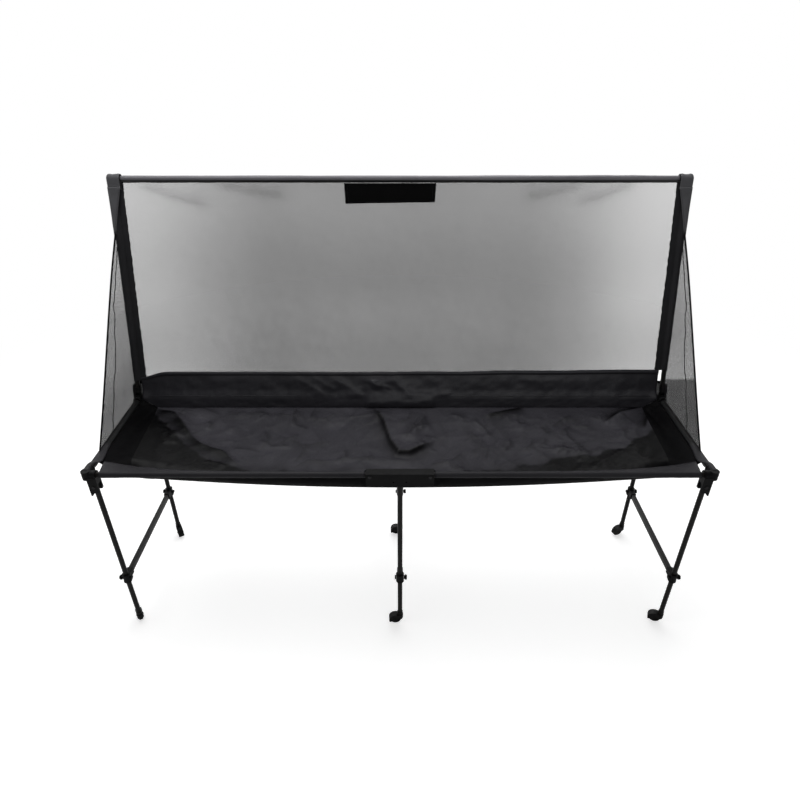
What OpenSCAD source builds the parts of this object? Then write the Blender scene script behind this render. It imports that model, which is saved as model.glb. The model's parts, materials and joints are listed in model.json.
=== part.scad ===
// Folding ball-catch net: a cloth tray on six castered legs with a net mast behind it.
// +X right, front faces -Y, +Z up, floor at Z = 0, origin under the middle of the bounding box.

/* [Rim] */
// Overall width across the corner connectors
rim_w = 1900; // [1500:10:2200]
// Distance between the front and rear rim tubes, centre to centre
rim_d = 440; // [380:10:520]
// Height of the rim tube centres above the floor
rim_h = 665; // [560:5:760]

/* [Tubes] */
// Outer diameter of every round tube
tube_d = 16; // [14:0.5:18]
// Wall of the round tubes
tube_wall = 1.2; // [0.8:0.1:2]

/* [Mast] */
// Height of the top bar's centre above the floor
mast_top_h = 1380; // [1250:5:1600]
// How far the top bar stands behind the rear rim
mast_set = 190; // [60:5:230]
// Height of the mast hinge above the rim tube centres
mast_pivot_up = 25; // [25:1:34]
// Length of the ferrule at the middle of the top bar
ferrule_len = 64; // [40:2:100]

/* [Legs] */
// Leg axis inboard of the overall half width
leg_in = 31; // [29:1:36]
// Height of the braces and their collars
collar_h = 225; // [150:5:350]
// Height of the brace tube
brace_h = 20; // [16:1:24]
// Width of the brace tube
brace_w = 14; // [12:1:16]
// Height of the clamp collars
collar_len = 32; // [28:1:50]

/* [Fittings] */
// Width of the channel brackets and corner sockets
bracket_w = 28; // [27:0.5:32]
// Drop of the hinge pins below the rim tube centres
leg_pin_drop = 40; // [36:1:50]
// Reach of a corner socket from the corner's centre
socket_len = 30; // [26:1:45]
// Length of the bracket cheeks below the hinge pin
cheek_below = 21; // [14:1:30]
// How much further the bracket's outer web reaches than its cheeks
web_extra = 11; // [4:1:20]
// Hinge pin diameter
pin_d = 6; // [4:0.5:7]
// Length of the two centre hinge housings
housing_len = 204; // [170:2:260]
// How far the hinge pins are in from the ends of a housing
housing_pin_in = 12; // [10:1:30]
// Depth of a housing below the rim tube centres
housing_drop = 36; // [30:1:60]

/* [Casters] */
// Wheel diameter
wheel_d = 38; // [32:1:50]
// Wheel width
wheel_w = 15; // [12:0.5:18]
// Distance from the swivel axis to the wheel's axle
trail = 16; // [12:0.5:18]
// Axle diameter
axle_d = 5; // [4:0.5:7]
// Stem diameter
stem_d = 8; // [6:0.5:9]
// Length of stem inside the leg
stem_len = 32; // [20:1:45]

/* [Cloth] */
// Thickness of the woven cloth
cloth_t = 1.6; // [1:0.1:2]
// Depth of the tray at its front, below the rim tube centres
tray_front_drop = 64; // [50:1:90]
// Depth of the tray at its back, below the rim tube centres
tray_back_drop = 32; // [28:1:50]
// Sag of the tray floor at its middle
tray_sag = 6; // [0:1:12]
// Floor corner inboard of the overall half width, at the front
floor_in_front = 112; // [90:1:180]
// Floor corner inboard of the overall half width, at the back
floor_in_back = 77; // [66:1:120]
// Height of the cloth band's top edge above the mast hinge
band_top = 68; // [45:1:120]
// Width of the post sleeves
sleeve_w = 45; // [35:1:60]
// Label patch width
label_w = 300; // [150:5:400]
// Label patch height
label_h = 59; // [30:1:90]
// Label patch centre, to the left of the middle
label_left = 32; // [0:1:60]
// Length of the corner gussets down the posts
gusset_len = 150; // [80:5:220]
// Depth of the corner caps below the top bar's centre
cap_drop = 32; // [28:1:45]
// Height of the post sleeves' lower ends above the mast hinge
sleeve_foot = 84; // [70:1:120]

/* [Netting] */
// Thickness of the netting
net_t = 1.2; // [0.8:0.1:2]
// Gaps across the back net
net_cols = 22; // [12:1:24]
// Gaps up the back net
net_rows = 9; // [6:1:10]
// Width of the cords between the gaps
net_cord = 5; // [3:0.5:8]

/* [Fits] */
// Radial clearance of a pin, axle or stem that turns
run_clear = 0.05; // [0.02:0.01:0.09]
// Gap between a fixed piece and its seat
seat_gap = 0.3; // [0.1:0.05:0.4]
// Side clearance of a knuckle between its bracket's cheeks
side_clear = 0.4; // [0.2:0.05:0.6]

/* [Hidden] */
$fn = 48;

// Colours
PAINT = [0.09, 0.08, 0.08];
PLASTIC = [0.06, 0.06, 0.065];
CLOTH = [0.19, 0.18, 0.2];
BAND = [0.1, 0.1, 0.11];
NET = [0.25, 0.25, 0.26];
LABEL = [0.05, 0.05, 0.055];
RUBBER = [0.05, 0.05, 0.05];
STEEL = [0.62, 0.62, 0.64];

// Cut overshoot, so that a cut leaves no skin behind
over = 1;

// Shared places
half_w = rim_w / 2;
conn_r = bracket_w / 2;
side_x = half_w - conn_r;
leg_x = half_w - leg_in;
cap_r = conn_r;
pin_head_t = 1.6;
front_reach = conn_r + pin_head_t;
y_front = front_reach - (front_reach + rim_d + mast_set + cap_r) / 2;
y_back = y_front + rim_d;
pivot_h = rim_h + mast_pivot_up;
leg_pin_h = rim_h - leg_pin_drop;
housing_pin_x = housing_len / 2 - housing_pin_in;
mast_rise = mast_top_h - pivot_h;
mast_len = norm([mast_set, mast_rise]);
lean = atan2(mast_set, mast_rise);

// Shared sizes
tube_r = tube_d / 2;
tube_in_r = tube_r - tube_wall;
socket_r = tube_r + run_clear;
pin_bore_r = pin_d / 2 + run_clear;
knuckle_r = tube_r + 0.6;
knuckle_w = tube_d + 1.6;
// Length of a knuckle from its pin to the tube it plugs into, and of its plug
knuckle_foot = knuckle_r + 6;
spigot_len = 22;
cheek_gap = knuckle_w + 2 * side_clear;
// Web of the channel brackets
web_t = 4;
// Solid middle of the corner connectors
core = 10;
// Rim tube beyond its hinge pin
past_pin = knuckle_r + 3;
// Space kept round a turning knuckle
swing_r = knuckle_r + over;
hem_in_r = tube_r + seat_gap;
hem_r = hem_in_r + cloth_t;

// Angle through which the mast folds forward to lie over the tray
mast_fold = 104;

// Leg and caster heights
wheel_r = wheel_d / 2;
tyre_gap = 1.4;
hood_t = 2.4;
hood_in_r = wheel_r + tyre_gap;
hood_r = hood_in_r + hood_t;
neck_h = 3;
neck_top = wheel_r + hood_r + neck_h;
leg_foot_h = neck_top + seat_gap;
foot_r = tube_r + 1.5;
foot_len = 9;

// ---------- helpers ----------

// Mirrors a right-hand piece to the left when s is -1
module side(s) mirror([s < 0 ? 1 : 0, 0, 0]) children();

// A round bar along Z
module bar(len, r) cylinder(r = r, h = len);

// A hollow tube along Z
module tube(len) difference() {
    bar(len, tube_r);
    translate([0, 0, -over]) bar(len + 2 * over, tube_in_r);
}

// Turns a piece made along Z to run along X, or along Y
module along_x() rotate([0, 90, 0]) children();
module along_y() rotate([-90, 0, 0]) children();

// A pin with a rivet head at each end, along Z and centred
module rivet(grip, r, head_r, head_t) {
    translate([0, 0, -grip / 2]) bar(grip, r);
    for (e = [-1, 1]) translate([0, 0, e * (grip / 2 + head_t / 2)])
        cylinder(r = head_r, h = head_t, center = true);
}

// Frame of the mast: origin on its hinge line, Z up the posts, Y out of its back
module on_mast() translate([0, y_back, pivot_h]) rotate([-lean, 0, 0]) children();

// Outline of a hem that wraps a tube
module hem_ring(r_in) difference() {
    circle(r = r_in + cloth_t);
    circle(r = r_in);
}

// Closed thin sheet over a grid of points; each point is given with the matching point below it
function grid(us, vs, f) = [for (u = us) for (v = vs) f(u, v)];
function sheet_faces(nu, nv) = let (n = nu * nv) concat(
    [for (i = [0:nu - 2]) for (j = [0:nv - 2]) let (a = i * nv + j, b = a + nv) each
        [[a, b, b + 1], [a, b + 1, a + 1], [n + a, n + b + 1, n + b], [n + a, n + a + 1, n + b + 1]]],
    [for (i = [0:nu - 2]) let (a = i * nv, b = a + nv, c = a + nv - 1, d = b + nv - 1) each
        [[a, n + a, n + b], [a, n + b, b], [c, d, n + d], [c, n + d, n + c]]],
    [for (j = [0:nv - 2]) let (a = j, c = (nu - 1) * nv + j) each
        [[a, a + 1, n + a + 1], [a, n + a + 1, n + a], [c, n + c, n + c + 1], [c, n + c + 1, c + 1]]]);
module sheet(top, nu, nv, down) polyhedron(
    points = concat(top, [for (p = top) p + down]), faces = sheet_faces(nu, nv), convexity = 6);

// ---------- rim ----------

module long_rim_tube(y, s) color(PAINT) side(s)
    translate([housing_pin_x - past_pin, y, rim_h]) difference() {
        along_x() tube(side_x - core - seat_gap - housing_pin_x + past_pin);
        translate([past_pin, -tube_d, 0]) along_y() bar(2 * tube_d, pin_bore_r);
    }

module side_rim_tube(s) color(PAINT) side(s)
    translate([side_x, y_front + core + seat_gap, rim_h])
        along_y() tube(rim_d - 2 * core - 2 * seat_gap);

// Cutter that rounds the corner of a plate at the origin, with the plate on +X and +Y
module corner_round(r) difference() {
    translate([-over, -over]) square(r + over);
    translate([r, r]) circle(r = r);
}

// Outline of a leg bracket's cheek, with a rounded inner foot and its pin at the origin
module cheek_outline(top) {
    round_r = 6;
    inner = -knuckle_r - round_r;
    difference() {
        translate([inner, -cheek_below]) square([conn_r - inner, top + cheek_below]);
        translate([inner, -cheek_below]) corner_round(round_r);
    }
}

// Channel bracket for a folding leg: cheeks at front and back, web on the outer side.
// Origin on the hinge pin, +X outward.
module leg_bracket() {
    lap = 4;
    difference() {
        translate([0, conn_r, 0]) rotate([90, 0, 0]) linear_extrude(bracket_w)
            cheek_outline(leg_pin_drop - lap);
        translate([-2 * bracket_w, -cheek_gap / 2, -cheek_below - over])
            cube([2 * bracket_w + conn_r - web_t, cheek_gap, cheek_below + over + swing_r]);
        translate([0, -bracket_w, 0]) along_y() bar(2 * bracket_w, pin_bore_r);
    }
    translate([conn_r - web_t, -conn_r, -cheek_below - web_extra])
        cube([web_t, bracket_w, web_extra + over]);
}

// Sockets of a corner connector: one arm inward along X, one along Y towards dir,
// each with a lip at its mouth
module corner_sockets(dir) {
    lip = 4;
    arm_r = conn_r - 1.4;
    post_r = conn_r - 0.7;
    translate([0, 0, -conn_r]) bar(2 * conn_r, post_r);
    translate([-socket_len, 0, 0]) along_x() bar(socket_len, arm_r);
    translate([-socket_len, 0, 0]) along_x() bar(lip, conn_r);
    mirror([0, dir < 0 ? 1 : 0, 0]) along_y() bar(socket_len, arm_r);
    mirror([0, dir < 0 ? 1 : 0, 0]) translate([0, socket_len - lip, 0]) along_y() bar(lip, conn_r);
}

// Bores of the two sockets, from the solid middle out past the bracket
module socket_bores(dir) {
    translate([-2 * socket_len, 0, 0]) along_x() bar(2 * socket_len - core, socket_r);
    mirror([0, dir < 0 ? 1 : 0, 0]) translate([0, core, 0]) along_y() bar(2 * socket_len, socket_r);
}

module corner_body(dir) difference() {
    union() {
        corner_sockets(dir);
        translate([leg_x - side_x, 0, -leg_pin_drop]) leg_bracket();
    }
    socket_bores(dir);
}

module corner_front(s) color(PLASTIC) side(s) translate([side_x, y_front, rim_h]) corner_body(1);

// Channel bracket for the mast: cheeks at the sides, web behind as the stop for the upright post.
// Origin on the hinge, Z up the post. The channel's floor clears the knuckle when it lies forward.
module mast_bracket() {
    round_r = 6;
    cheek_top = 28;
    web_top = cheek_top + 8;
    front = -knuckle_r - 4;
    past_level = mast_fold - 90;
    channel_drop = knuckle_foot * sin(past_level) + knuckle_r * cos(past_level) + over;
    difference() {
        translate([-conn_r, 0, 0]) rotate([90, 0, 90]) linear_extrude(bracket_w) difference() {
            translate([front, -mast_pivot_up]) square([conn_r - front, cheek_top + mast_pivot_up]);
            translate([front, cheek_top]) mirror([0, 1]) corner_round(round_r);
        }
        translate([-cheek_gap / 2, 2 * front, -channel_drop])
            cube([cheek_gap, conn_r - web_t - 2 * front, 2 * cheek_top + channel_drop]);
        translate([-bracket_w, 0, 0]) along_x() bar(2 * bracket_w, pin_bore_r);
    }
    translate([-conn_r, conn_r - web_t, cheek_top - over])
        cube([bracket_w, web_t, web_top - cheek_top + over]);
}

module corner_rear(s) color(PLASTIC) side(s) difference() {
    union() {
        translate([side_x, y_back, rim_h]) corner_body(-1);
        intersection() {
            translate([side_x, 0, 0]) on_mast() mast_bracket();
            translate([0, y_back - rim_d, rim_h]) cube([rim_w, 2 * rim_d, rim_w]);
        }
    }
    translate([side_x, y_back, rim_h]) socket_bores(-1);
}

// ---------- centre hinge housings ----------

roof_t = 2.5;
roof_gap = 0.5;
housing_top = tube_r + roof_gap + roof_t;
leg_stop = 6;

// Outline of a housing seen from the front, with its two lower ends rounded
module housing_outline() {
    end_r = 10;
    difference() {
        translate([-housing_len / 2, -housing_drop]) square([housing_len, housing_drop + housing_top]);
        for (e = [0, 1]) mirror([e, 0]) translate([-housing_len / 2, -housing_drop]) corner_round(end_r);
    }
}

// Wall across a housing, centred on x
module cross_wall(x, t) translate([x - t / 2, -conn_r, -housing_drop])
    cube([t, bracket_w, housing_drop + housing_top]);

// Downward channel with two cross ribs and a boss for the centre leg. Origin at its middle.
module centre_hinge() {
    channel = tube_d + 1;
    boss = tube_d + 10;
    rib_t = 4;
    rib_x = housing_pin_x - past_pin - rib_t;
    screw_r = 2.6;
    screw_x = boss / 2 + 6;
    difference() {
        union() {
            difference() {
                translate([0, conn_r, 0]) rotate([90, 0, 0]) linear_extrude(bracket_w) housing_outline();
                translate([-housing_len, -channel / 2, -housing_drop - over])
                    cube([2 * housing_len, channel, housing_drop + over + tube_r + roof_gap]);
            }
            cross_wall(0, boss);
            for (e = [-1, 1]) cross_wall(e * rib_x, rib_t);
        }
        translate([0, 0, -housing_drop - over]) bar(housing_drop - leg_stop + over, socket_r);
        for (e = [-1, 1]) translate([e * housing_pin_x, -bracket_w, 0])
            along_y() bar(2 * bracket_w, pin_bore_r);
        for (e = [-1, 1]) translate([e * screw_x, -bracket_w, -housing_drop / 2])
            along_y() bar(bracket_w, screw_r);
    }
}

module centre_hinge_at(y) color(PLASTIC) translate([0, y, rim_h]) centre_hinge();

// All hinge pins that stay with the rim: four in the housings, four for legs, two for the mast
module hinge_pins() color(STEEL) {
    r = pin_d / 2;
    head_r = r + 2;
    for (y = [y_front, y_back]) for (s = [-1, 1]) {
        translate([s * housing_pin_x, y, rim_h]) along_y() rivet(bracket_w, r, head_r, pin_head_t);
        translate([s * leg_x, y, leg_pin_h]) along_y() rivet(bracket_w, r, head_r, pin_head_t);
    }
    for (s = [-1, 1]) translate([s * side_x - conn_r, y_back, pivot_h]) along_x() bar(bracket_w, r);
}

// ---------- legs ----------

// Leg tube from its foot plug, bored for the caster's stem, up to z = top, on the Z axis
module leg_tube(top) {
    stem_room = 2;
    plug_top = 4;
    difference() {
        union() {
            translate([0, 0, leg_foot_h]) bar(top - leg_foot_h, tube_r);
            translate([0, 0, leg_foot_h]) bar(foot_len, foot_r);
        }
        translate([0, 0, leg_foot_h + stem_len + stem_room + plug_top]) bar(top, tube_in_r);
        translate([0, 0, leg_foot_h - over]) bar(stem_len + stem_room + over, stem_d / 2 + run_clear);
    }
}

module folding_leg(x, y) color(PAINT) translate([x, y, 0])
    leg_tube(leg_pin_h - knuckle_foot - seat_gap);

module centre_leg(y) color(PAINT) translate([0, y, 0]) leg_tube(rim_h - leg_stop - seat_gap);

// Knuckle that plugs into a tube's end: origin on its pin, tube towards -Z, pin along Y
module knuckle() difference() {
    union() {
        translate([0, knuckle_w / 2, 0]) rotate([90, 0, 0]) linear_extrude(knuckle_w) {
            circle(r = knuckle_r);
            translate([-knuckle_r, -knuckle_foot]) square([2 * knuckle_r, knuckle_foot]);
        }
        translate([0, 0, -knuckle_foot - spigot_len]) bar(spigot_len + over, tube_in_r - run_clear);
    }
    translate([0, -knuckle_w, 0]) along_y() bar(2 * knuckle_w, pin_bore_r);
}

module leg_knuckles(s) color(PLASTIC)
    for (y = [y_front, y_back]) translate([s * leg_x, y, leg_pin_h]) knuckle();

// Rounded rectangle outline
module round_rect(w, h, r) {
    square([w - 2 * r, h], center = true);
    square([w, h - 2 * r], center = true);
    for (i = [-1, 1]) for (j = [-1, 1]) translate([i * (w / 2 - r), j * (h / 2 - r)]) circle(r = r);
}

brace_wall = 1.2;
brace_round = 3;
collar_r = tube_r + 4.5;
brace_seat = collar_r + 2;
collar_reach = collar_r + 20;

// Clamp collar on a leg, with a socket for the brace towards +Y and a clamp screw along X
module collar() {
    socket_wall = 3;
    lip_t = 3;
    nut_t = 5;
    nut_r = 7;
    knob_x = collar_r + seat_gap;
    difference() {
        union() {
            translate([0, 0, -collar_len / 2]) bar(collar_len, collar_r);
            translate([0, collar_reach, 0]) rotate([90, 0, 0]) linear_extrude(collar_reach)
                round_rect(brace_w + 2 * socket_wall, brace_h + 2 * socket_wall, brace_round + 1);
            for (e = [-1, 1]) translate([0, 0, e * (collar_len - lip_t) / 2])
                cylinder(r = collar_r + 1, h = lip_t, center = true);
        }
        translate([0, 0, -collar_len]) bar(2 * collar_len, socket_r);
        translate([0, collar_reach + over, 0]) rotate([90, 0, 0])
            linear_extrude(collar_reach + over - brace_seat)
                round_rect(brace_w + 2 * run_clear, brace_h + 2 * run_clear, brace_round);
    }
    translate([knob_x, 0, 0]) along_x() knob();
    translate([-knob_x - nut_t, 0, 0]) along_x() cylinder(r = nut_r, h = nut_t, $fn = 6);
}

// Clamp knob along Z: a short neck, a fluted grip and a crowned end
module knob() {
    neck = [6, 3];
    grip = [8.5, 6];
    crown = [7, 1.6];
    flute_r = 2.2;
    difference() {
        union() {
            bar(neck[1], neck[0]);
            translate([0, 0, neck[1]]) bar(grip[1], grip[0]);
            translate([0, 0, neck[1] + grip[1]]) cylinder(r1 = grip[0], r2 = crown[0], h = crown[1]);
        }
        for (a = [0:60:300]) rotate([0, 0, a]) translate([grip[0] + flute_r / 2, 0, neck[1] + over])
            bar(grip[1] + 2 * crown[1], flute_r);
    }
}

module collar_pair(x) color(PLASTIC) {
    turn = x < 0 ? 1 : 0;
    translate([x, y_front, collar_h]) mirror([turn, 0, 0]) collar();
    translate([x, y_back, collar_h]) mirror([turn, 0, 0]) mirror([0, 1, 0]) collar();
}

module brace(x) color(PAINT)
    translate([x, y_back - brace_seat - seat_gap, collar_h]) rotate([90, 0, 0])
        linear_extrude(rim_d - 2 * brace_seat - 2 * seat_gap) difference() {
            round_rect(brace_w, brace_h, brace_round);
            round_rect(brace_w - 2 * brace_wall, brace_h - 2 * brace_wall, brace_round - brace_wall / 2);
        }

// ---------- casters ----------

wheel_side_gap = 0.8;
fork_w = wheel_w + 2 * wheel_side_gap;
fork_out = fork_w + 2 * hood_t;

// Caster body at the origin of its swivel axis, wheel trailing towards +X
module caster() {
    neck_r = 10;
    ear_r = axle_d / 2 + 4;
    skirt_slope = 18;
    skirt_drop = 3;
    difference() {
        union() {
            translate([trail, fork_out / 2, wheel_r]) rotate([90, 0, 0]) bar(fork_out, hood_r);
            translate([0, 0, wheel_r]) bar(neck_top - wheel_r - neck_h, neck_r + 1);
            translate([0, 0, neck_top - neck_h - over]) bar(neck_h + over, neck_r - 1);
            translate([0, 0, neck_top - over]) bar(stem_len + over, stem_d / 2);
        }
        translate([trail, fork_w / 2, wheel_r]) rotate([90, 0, 0]) bar(fork_w, hood_in_r);
        // The hood ends above the floor, cut on a slope, with a round ear left at the axle
        translate([trail, fork_out, wheel_r]) rotate([90, 0, 0]) linear_extrude(2 * fork_out)
            difference() {
                rotate(-skirt_slope) translate([-2 * hood_r, -2 * hood_r - skirt_drop])
                    square([4 * hood_r, 2 * hood_r]);
                circle(r = ear_r);
            }
    }
    // Axle, riveted in the two sides of the hood
    translate([trail, 0, wheel_r]) along_y() rivet(fork_out + 1, axle_d / 2, axle_d / 2 + 1.2, 1);
}

// Wheel at the origin: tyre, recessed discs and a hub on its bore, axle along Y
module wheel() {
    bore = axle_d / 2 + run_clear;
    hub = axle_d / 2 + 4;
    disc = wheel_r - 6;
    half = wheel_w / 2;
    tyre = half - 0.5;
    web = half - 3;
    crown = 1.5;
    rotate([90, 0, 0]) rotate_extrude()
        polygon([[bore, -half], [hub, -half], [hub, -web], [disc, -web], [disc, -tyre],
                 [wheel_r - crown, -tyre], [wheel_r, crown - tyre],
                 [wheel_r, tyre - crown], [wheel_r - crown, tyre],
                 [disc, tyre], [disc, web], [hub, web], [hub, half], [bore, half]]);
}

// Direction in which each caster trails, degrees from +X
heading_fl = 122;
heading_fc = 183;
heading_fr = 158;
heading_rl = 300;
heading_rc = 180;
heading_rr = 205;

module caster_at(x, y, heading) color(PLASTIC) translate([x, y, 0]) rotate(heading) caster();
module wheel_at(x, y, heading) color(RUBBER) translate([x, y, 0]) rotate(heading)
    translate([trail, 0, wheel_r]) wheel();

// ---------- tray ----------

// The cloth hems start inboard of the corner sockets
hem_start_front = socket_len + 11;
hem_start_back = socket_len + 2;
hem_side_front = 62;
// The walls leave the hems just below their middle and slope in to the floor
wall_top = -2;
wall_lap = 0.15;
foot_front = 22;
foot_back = 18;
// Cut-out round a centre hinge, and the straight patch of cloth behind it
housing_room = housing_len / 2 + 2;
housing_lap = 8;
patch_y = conn_r + pin_head_t + seat_gap;

// Section of a wall, sloping inward from its hem to y = foot at -drop
module wall_section(foot, drop) {
    y0 = hem_r - wall_lap;
    polygon([[y0 - cloth_t, wall_top], [y0, wall_top], [foot, -drop], [foot - cloth_t, -drop]]);
}

// Wall seen from the front: wide at the hem, narrower at the floor
module wall_trapezoid(drop, start, floor_in) polygon([
    [-side_x + start, 0], [side_x - start, 0],
    [half_w - floor_in, -drop - over], [floor_in - half_w, -drop - over]]);

// Front or back wall with its hem, inside of the tray on +Y, rim tube on the X axis
module tray_wall(foot, drop, start, floor_in) {
    hem_half = side_x - start;
    difference() {
        union() {
            translate([-hem_half, 0, 0]) rotate([90, 0, 90]) linear_extrude(2 * hem_half) hem_ring(hem_in_r);
            intersection() {
                translate([-half_w, 0, 0]) rotate([90, 0, 90]) linear_extrude(rim_w) wall_section(foot, drop);
                translate([0, rim_d, 0]) rotate([90, 0, 0]) linear_extrude(2 * rim_d)
                    wall_trapezoid(drop, start, floor_in);
            }
        }
        translate([-housing_room, -2 * conn_r, -housing_drop - 2])
            cube([2 * housing_room, 2 * conn_r + patch_y, rim_d]);
    }
    patch_half = housing_room + housing_lap;
    patch_drop = min(drop, housing_drop + 6);
    translate([-patch_half, patch_y, -patch_drop]) cube([2 * patch_half, cloth_t, patch_drop + 2]);
}

module tray_front() color(CLOTH) translate([0, y_front, rim_h])
    tray_wall(foot_front, tray_front_drop, hem_start_front, floor_in_front);

module tray_back() color(BAND) translate([0, y_back, rim_h]) mirror([0, 1, 0])
    tray_wall(foot_back, tray_back_drop, hem_start_back, floor_in_back);

// Long soft creases of the tray floor: start and end as shares of half width and depth, height, reach
CREASES = [[-0.04, 0.98, 0.03, 0.45, 7, 26], [0.03, 0.45, 0.16, 0.30, -6, 24],
           [0.03, 0.45, -0.05, 0.10, 5, 30], [-0.97, 0.97, -0.62, 0.35, 6, 30],
           [-0.97, 0.97, -0.75, 0.12, -5, 34], [0.97, 0.97, 0.66, 0.50, 6, 30],
           [0.97, 0.97, 0.80, 0.15, -5, 32], [-0.45, 0.90, -0.20, 0.60, 3, 30],
           [0.30, 0.92, 0.55, 0.62, 4, 28], [-0.30, 0.30, -0.55, 0.12, 3, 30],
           [0.35, 0.30, 0.60, 0.10, 3, 30]];

function lerp(a, b, t) = a + (b - a) * t;
function limit(t) = max(0, min(1, t));
// Height that one crease c adds at the point p, and that all of them add
function crease_at(p, c, hw, d) = let (
    a = [c[0] * hw, c[1] * d],
    along = [c[2] * hw, c[3] * d] - a,
    t = limit((p - a) * along / (along * along)),
    away = norm(p - a - t * along))
    c[4] * exp(-pow(away / c[5], 2));
function creases(p, hw, d) = let (h = [for (c = CREASES) crease_at(p, c, hw, d)]) h * [for (c = CREASES) 1];

floor_nu = 44;
floor_nv = 12;
floor_y0 = y_front + foot_front + seat_gap;
floor_y1 = y_back - foot_back - seat_gap;

// Tray floor: sloped down to the front, sagging, with its creases dying out at the edges
module tray_floor() color(CLOTH) {
    hw_front = half_w - floor_in_front - seat_gap;
    hw_back = half_w - floor_in_back - seat_gap;
    top = grid([for (i = [0:floor_nu]) 2 * i / floor_nu - 1], [for (j = [0:floor_nv]) j / floor_nv],
        function (u, v) let (
            fade = (1 - pow(u, 8)) * 4 * v * (1 - v),
            x = u * lerp(hw_front, hw_back, v),
            y = lerp(floor_y0, floor_y1, v))
            [x, y, rim_h - lerp(tray_front_drop, tray_back_drop, v) - tray_sag * fade
                + min(1, fade * 1.6) * creases([x, y - floor_y0], hw_front, rim_d)]);
    sheet(top, floor_nu + 1, floor_nv + 1, [0, 0, -cloth_t]);
}

// End wall: hem round the side rim tube and a sloping panel, hollowed, with folds down it
module tray_end(s) color(CLOTH) side(s) {
    nu = 12;
    nv = 8;
    hem_y0 = y_front + hem_side_front;
    hem_y1 = y_back - socket_len - 3;
    panel_in = 2;
    hollow = 4;
    fold = 0.6;
    top_x = side_x - hem_r + 2 * wall_lap;
    translate([side_x, hem_y0, rim_h]) along_y() linear_extrude(hem_y1 - hem_y0) hem_ring(hem_in_r);
    top = grid([for (i = [0:nu]) i / nu], [for (j = [0:nv]) j / nv],
        function (u, v) let (
            x = lerp(half_w - lerp(floor_in_front, floor_in_back, u), top_x, v),
            y0 = lerp(floor_y0 + 2 * panel_in, hem_y0 + panel_in, v),
            y1 = lerp(floor_y1 - 2 * panel_in, hem_y1 - panel_in, v),
            z = lerp(-lerp(tray_front_drop, tray_back_drop, u), wall_top, v))
            [x, lerp(y0, y1, u), rim_h + z - hollow * sin(180 * v) * (1 + fold * sin(720 * u))]);
    sheet(top, nu + 1, nv + 1, [0, 0, -cloth_t]);
}

// ---------- mast ----------

module post(s) color(PAINT) on_mast() translate([s * side_x, 0, knuckle_foot + seat_gap])
    tube(mast_len - knuckle_foot - core - 2 * seat_gap);

module post_knuckles() color(PLASTIC) on_mast() for (s = [-1, 1])
    translate([s * side_x, 0, 0]) rotate([180, 0, 90]) knuckle();

module top_bar(s) color(PAINT) on_mast() side(s) translate([seat_gap / 2, 0, mast_len])
    along_x() tube(side_x - core - seat_gap * 1.5);

elbow_r = tube_r + 3;
elbow_arm = socket_len - 4;
elbow_arm_r = elbow_r - 0.6;

module top_elbows() color(PLASTIC) on_mast() for (s = [-1, 1]) side(s)
    translate([side_x, 0, mast_len]) difference() {
        union() {
            sphere(r = elbow_r);
            translate([0, 0, -elbow_arm]) bar(elbow_arm, elbow_arm_r);
            translate([-elbow_arm, 0, 0]) along_x() bar(elbow_arm, elbow_arm_r);
        }
        translate([0, 0, -socket_len - over]) bar(socket_len + over - core, socket_r);
        translate([-socket_len - over, 0, 0]) along_x() bar(socket_len + over - core, socket_r);
    }

ferrule_r = socket_r + 1.2;

// Ferrule over the joint at the middle of the top bar
module top_ferrule() color(PAINT) on_mast() translate([0, 0, mast_len]) difference() {
    translate([-ferrule_len / 2, 0, 0]) along_x() bar(ferrule_len, ferrule_r);
    translate([-ferrule_len, 0, 0]) along_x() bar(2 * ferrule_len, socket_r);
}

top_hem_in = ferrule_r + seat_gap;

// Post sleeve: a loop round the post and a flat double layer towards the net
module post_sleeve(s) color(BAND) on_mast() side(s) translate([side_x, 0, sleeve_foot])
    linear_extrude(mast_len - sleeve_foot - cap_drop - seat_gap) {
        hem_ring(hem_in_r);
        translate([hem_r - sleeve_w, -cloth_t]) square([sleeve_w - 2 * hem_r + 1, 2 * cloth_t]);
    }

net_x = side_x + hem_r - sleeve_w - seat_gap;
hem_tail = 8;

// Hem round the top bar with a stitched tail below it
module top_hem() color(CLOTH) on_mast() {
    reach = side_x - socket_len - 2;
    tail_lap = cloth_t / 2;
    translate([-reach, 0, mast_len]) rotate([90, 0, 90]) linear_extrude(2 * reach) {
        hem_ring(top_hem_in);
        translate([-cloth_t, -top_hem_in - hem_tail]) square([2 * cloth_t, hem_tail - tail_lap]);
    }
}

net_top = mast_len - top_hem_in - hem_tail - seat_gap;
net_foot = band_top + seat_gap;

// Back net: a flat panel with a border and rows of gaps
module back_net() color(NET) on_mast() rotate([90, 0, 0]) translate([0, 0, -net_t / 2])
    linear_extrude(net_t) {
        border = 10;
        w = 2 * net_x - 2 * border + net_cord;
        h = net_top - net_foot - 2 * border + net_cord;
        px = w / net_cols;
        pz = h / net_rows;
        difference() {
            translate([-net_x, net_foot]) square([2 * net_x, net_top - net_foot]);
            for (i = [0:net_cols - 1]) for (j = [0:net_rows - 1])
                translate([-w / 2 + net_cord / 2 + i * px, net_foot + border + j * pz])
                    square([px - net_cord, pz - net_cord]);
        }
    }

band_foot = -12;

// Cloth band at the foot of the back net, with soft waves along it that bulge forward
module back_band() color(BAND) {
    nu = 48;
    nv = 4;
    bulge = 0.8;
    ripple = 0.6;
    half_band = net_x - seat_gap;
    top = grid([for (i = [0:nu]) 2 * i / nu - 1], [for (j = [0:nv]) j / nv],
        function (u, v) let (
            fade = sin(180 * v) * (1 - pow(u, 6)),
            wave = bulge * (1 + sin(720 * u)) + ripple * sin(1330 * u + 40))
            [u * half_band, -cloth_t / 2 - fade * wave, lerp(band_foot, band_top, v)]);
    on_mast() sheet(top, nu + 1, nv + 1, [0, cloth_t, 0]);
}

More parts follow.
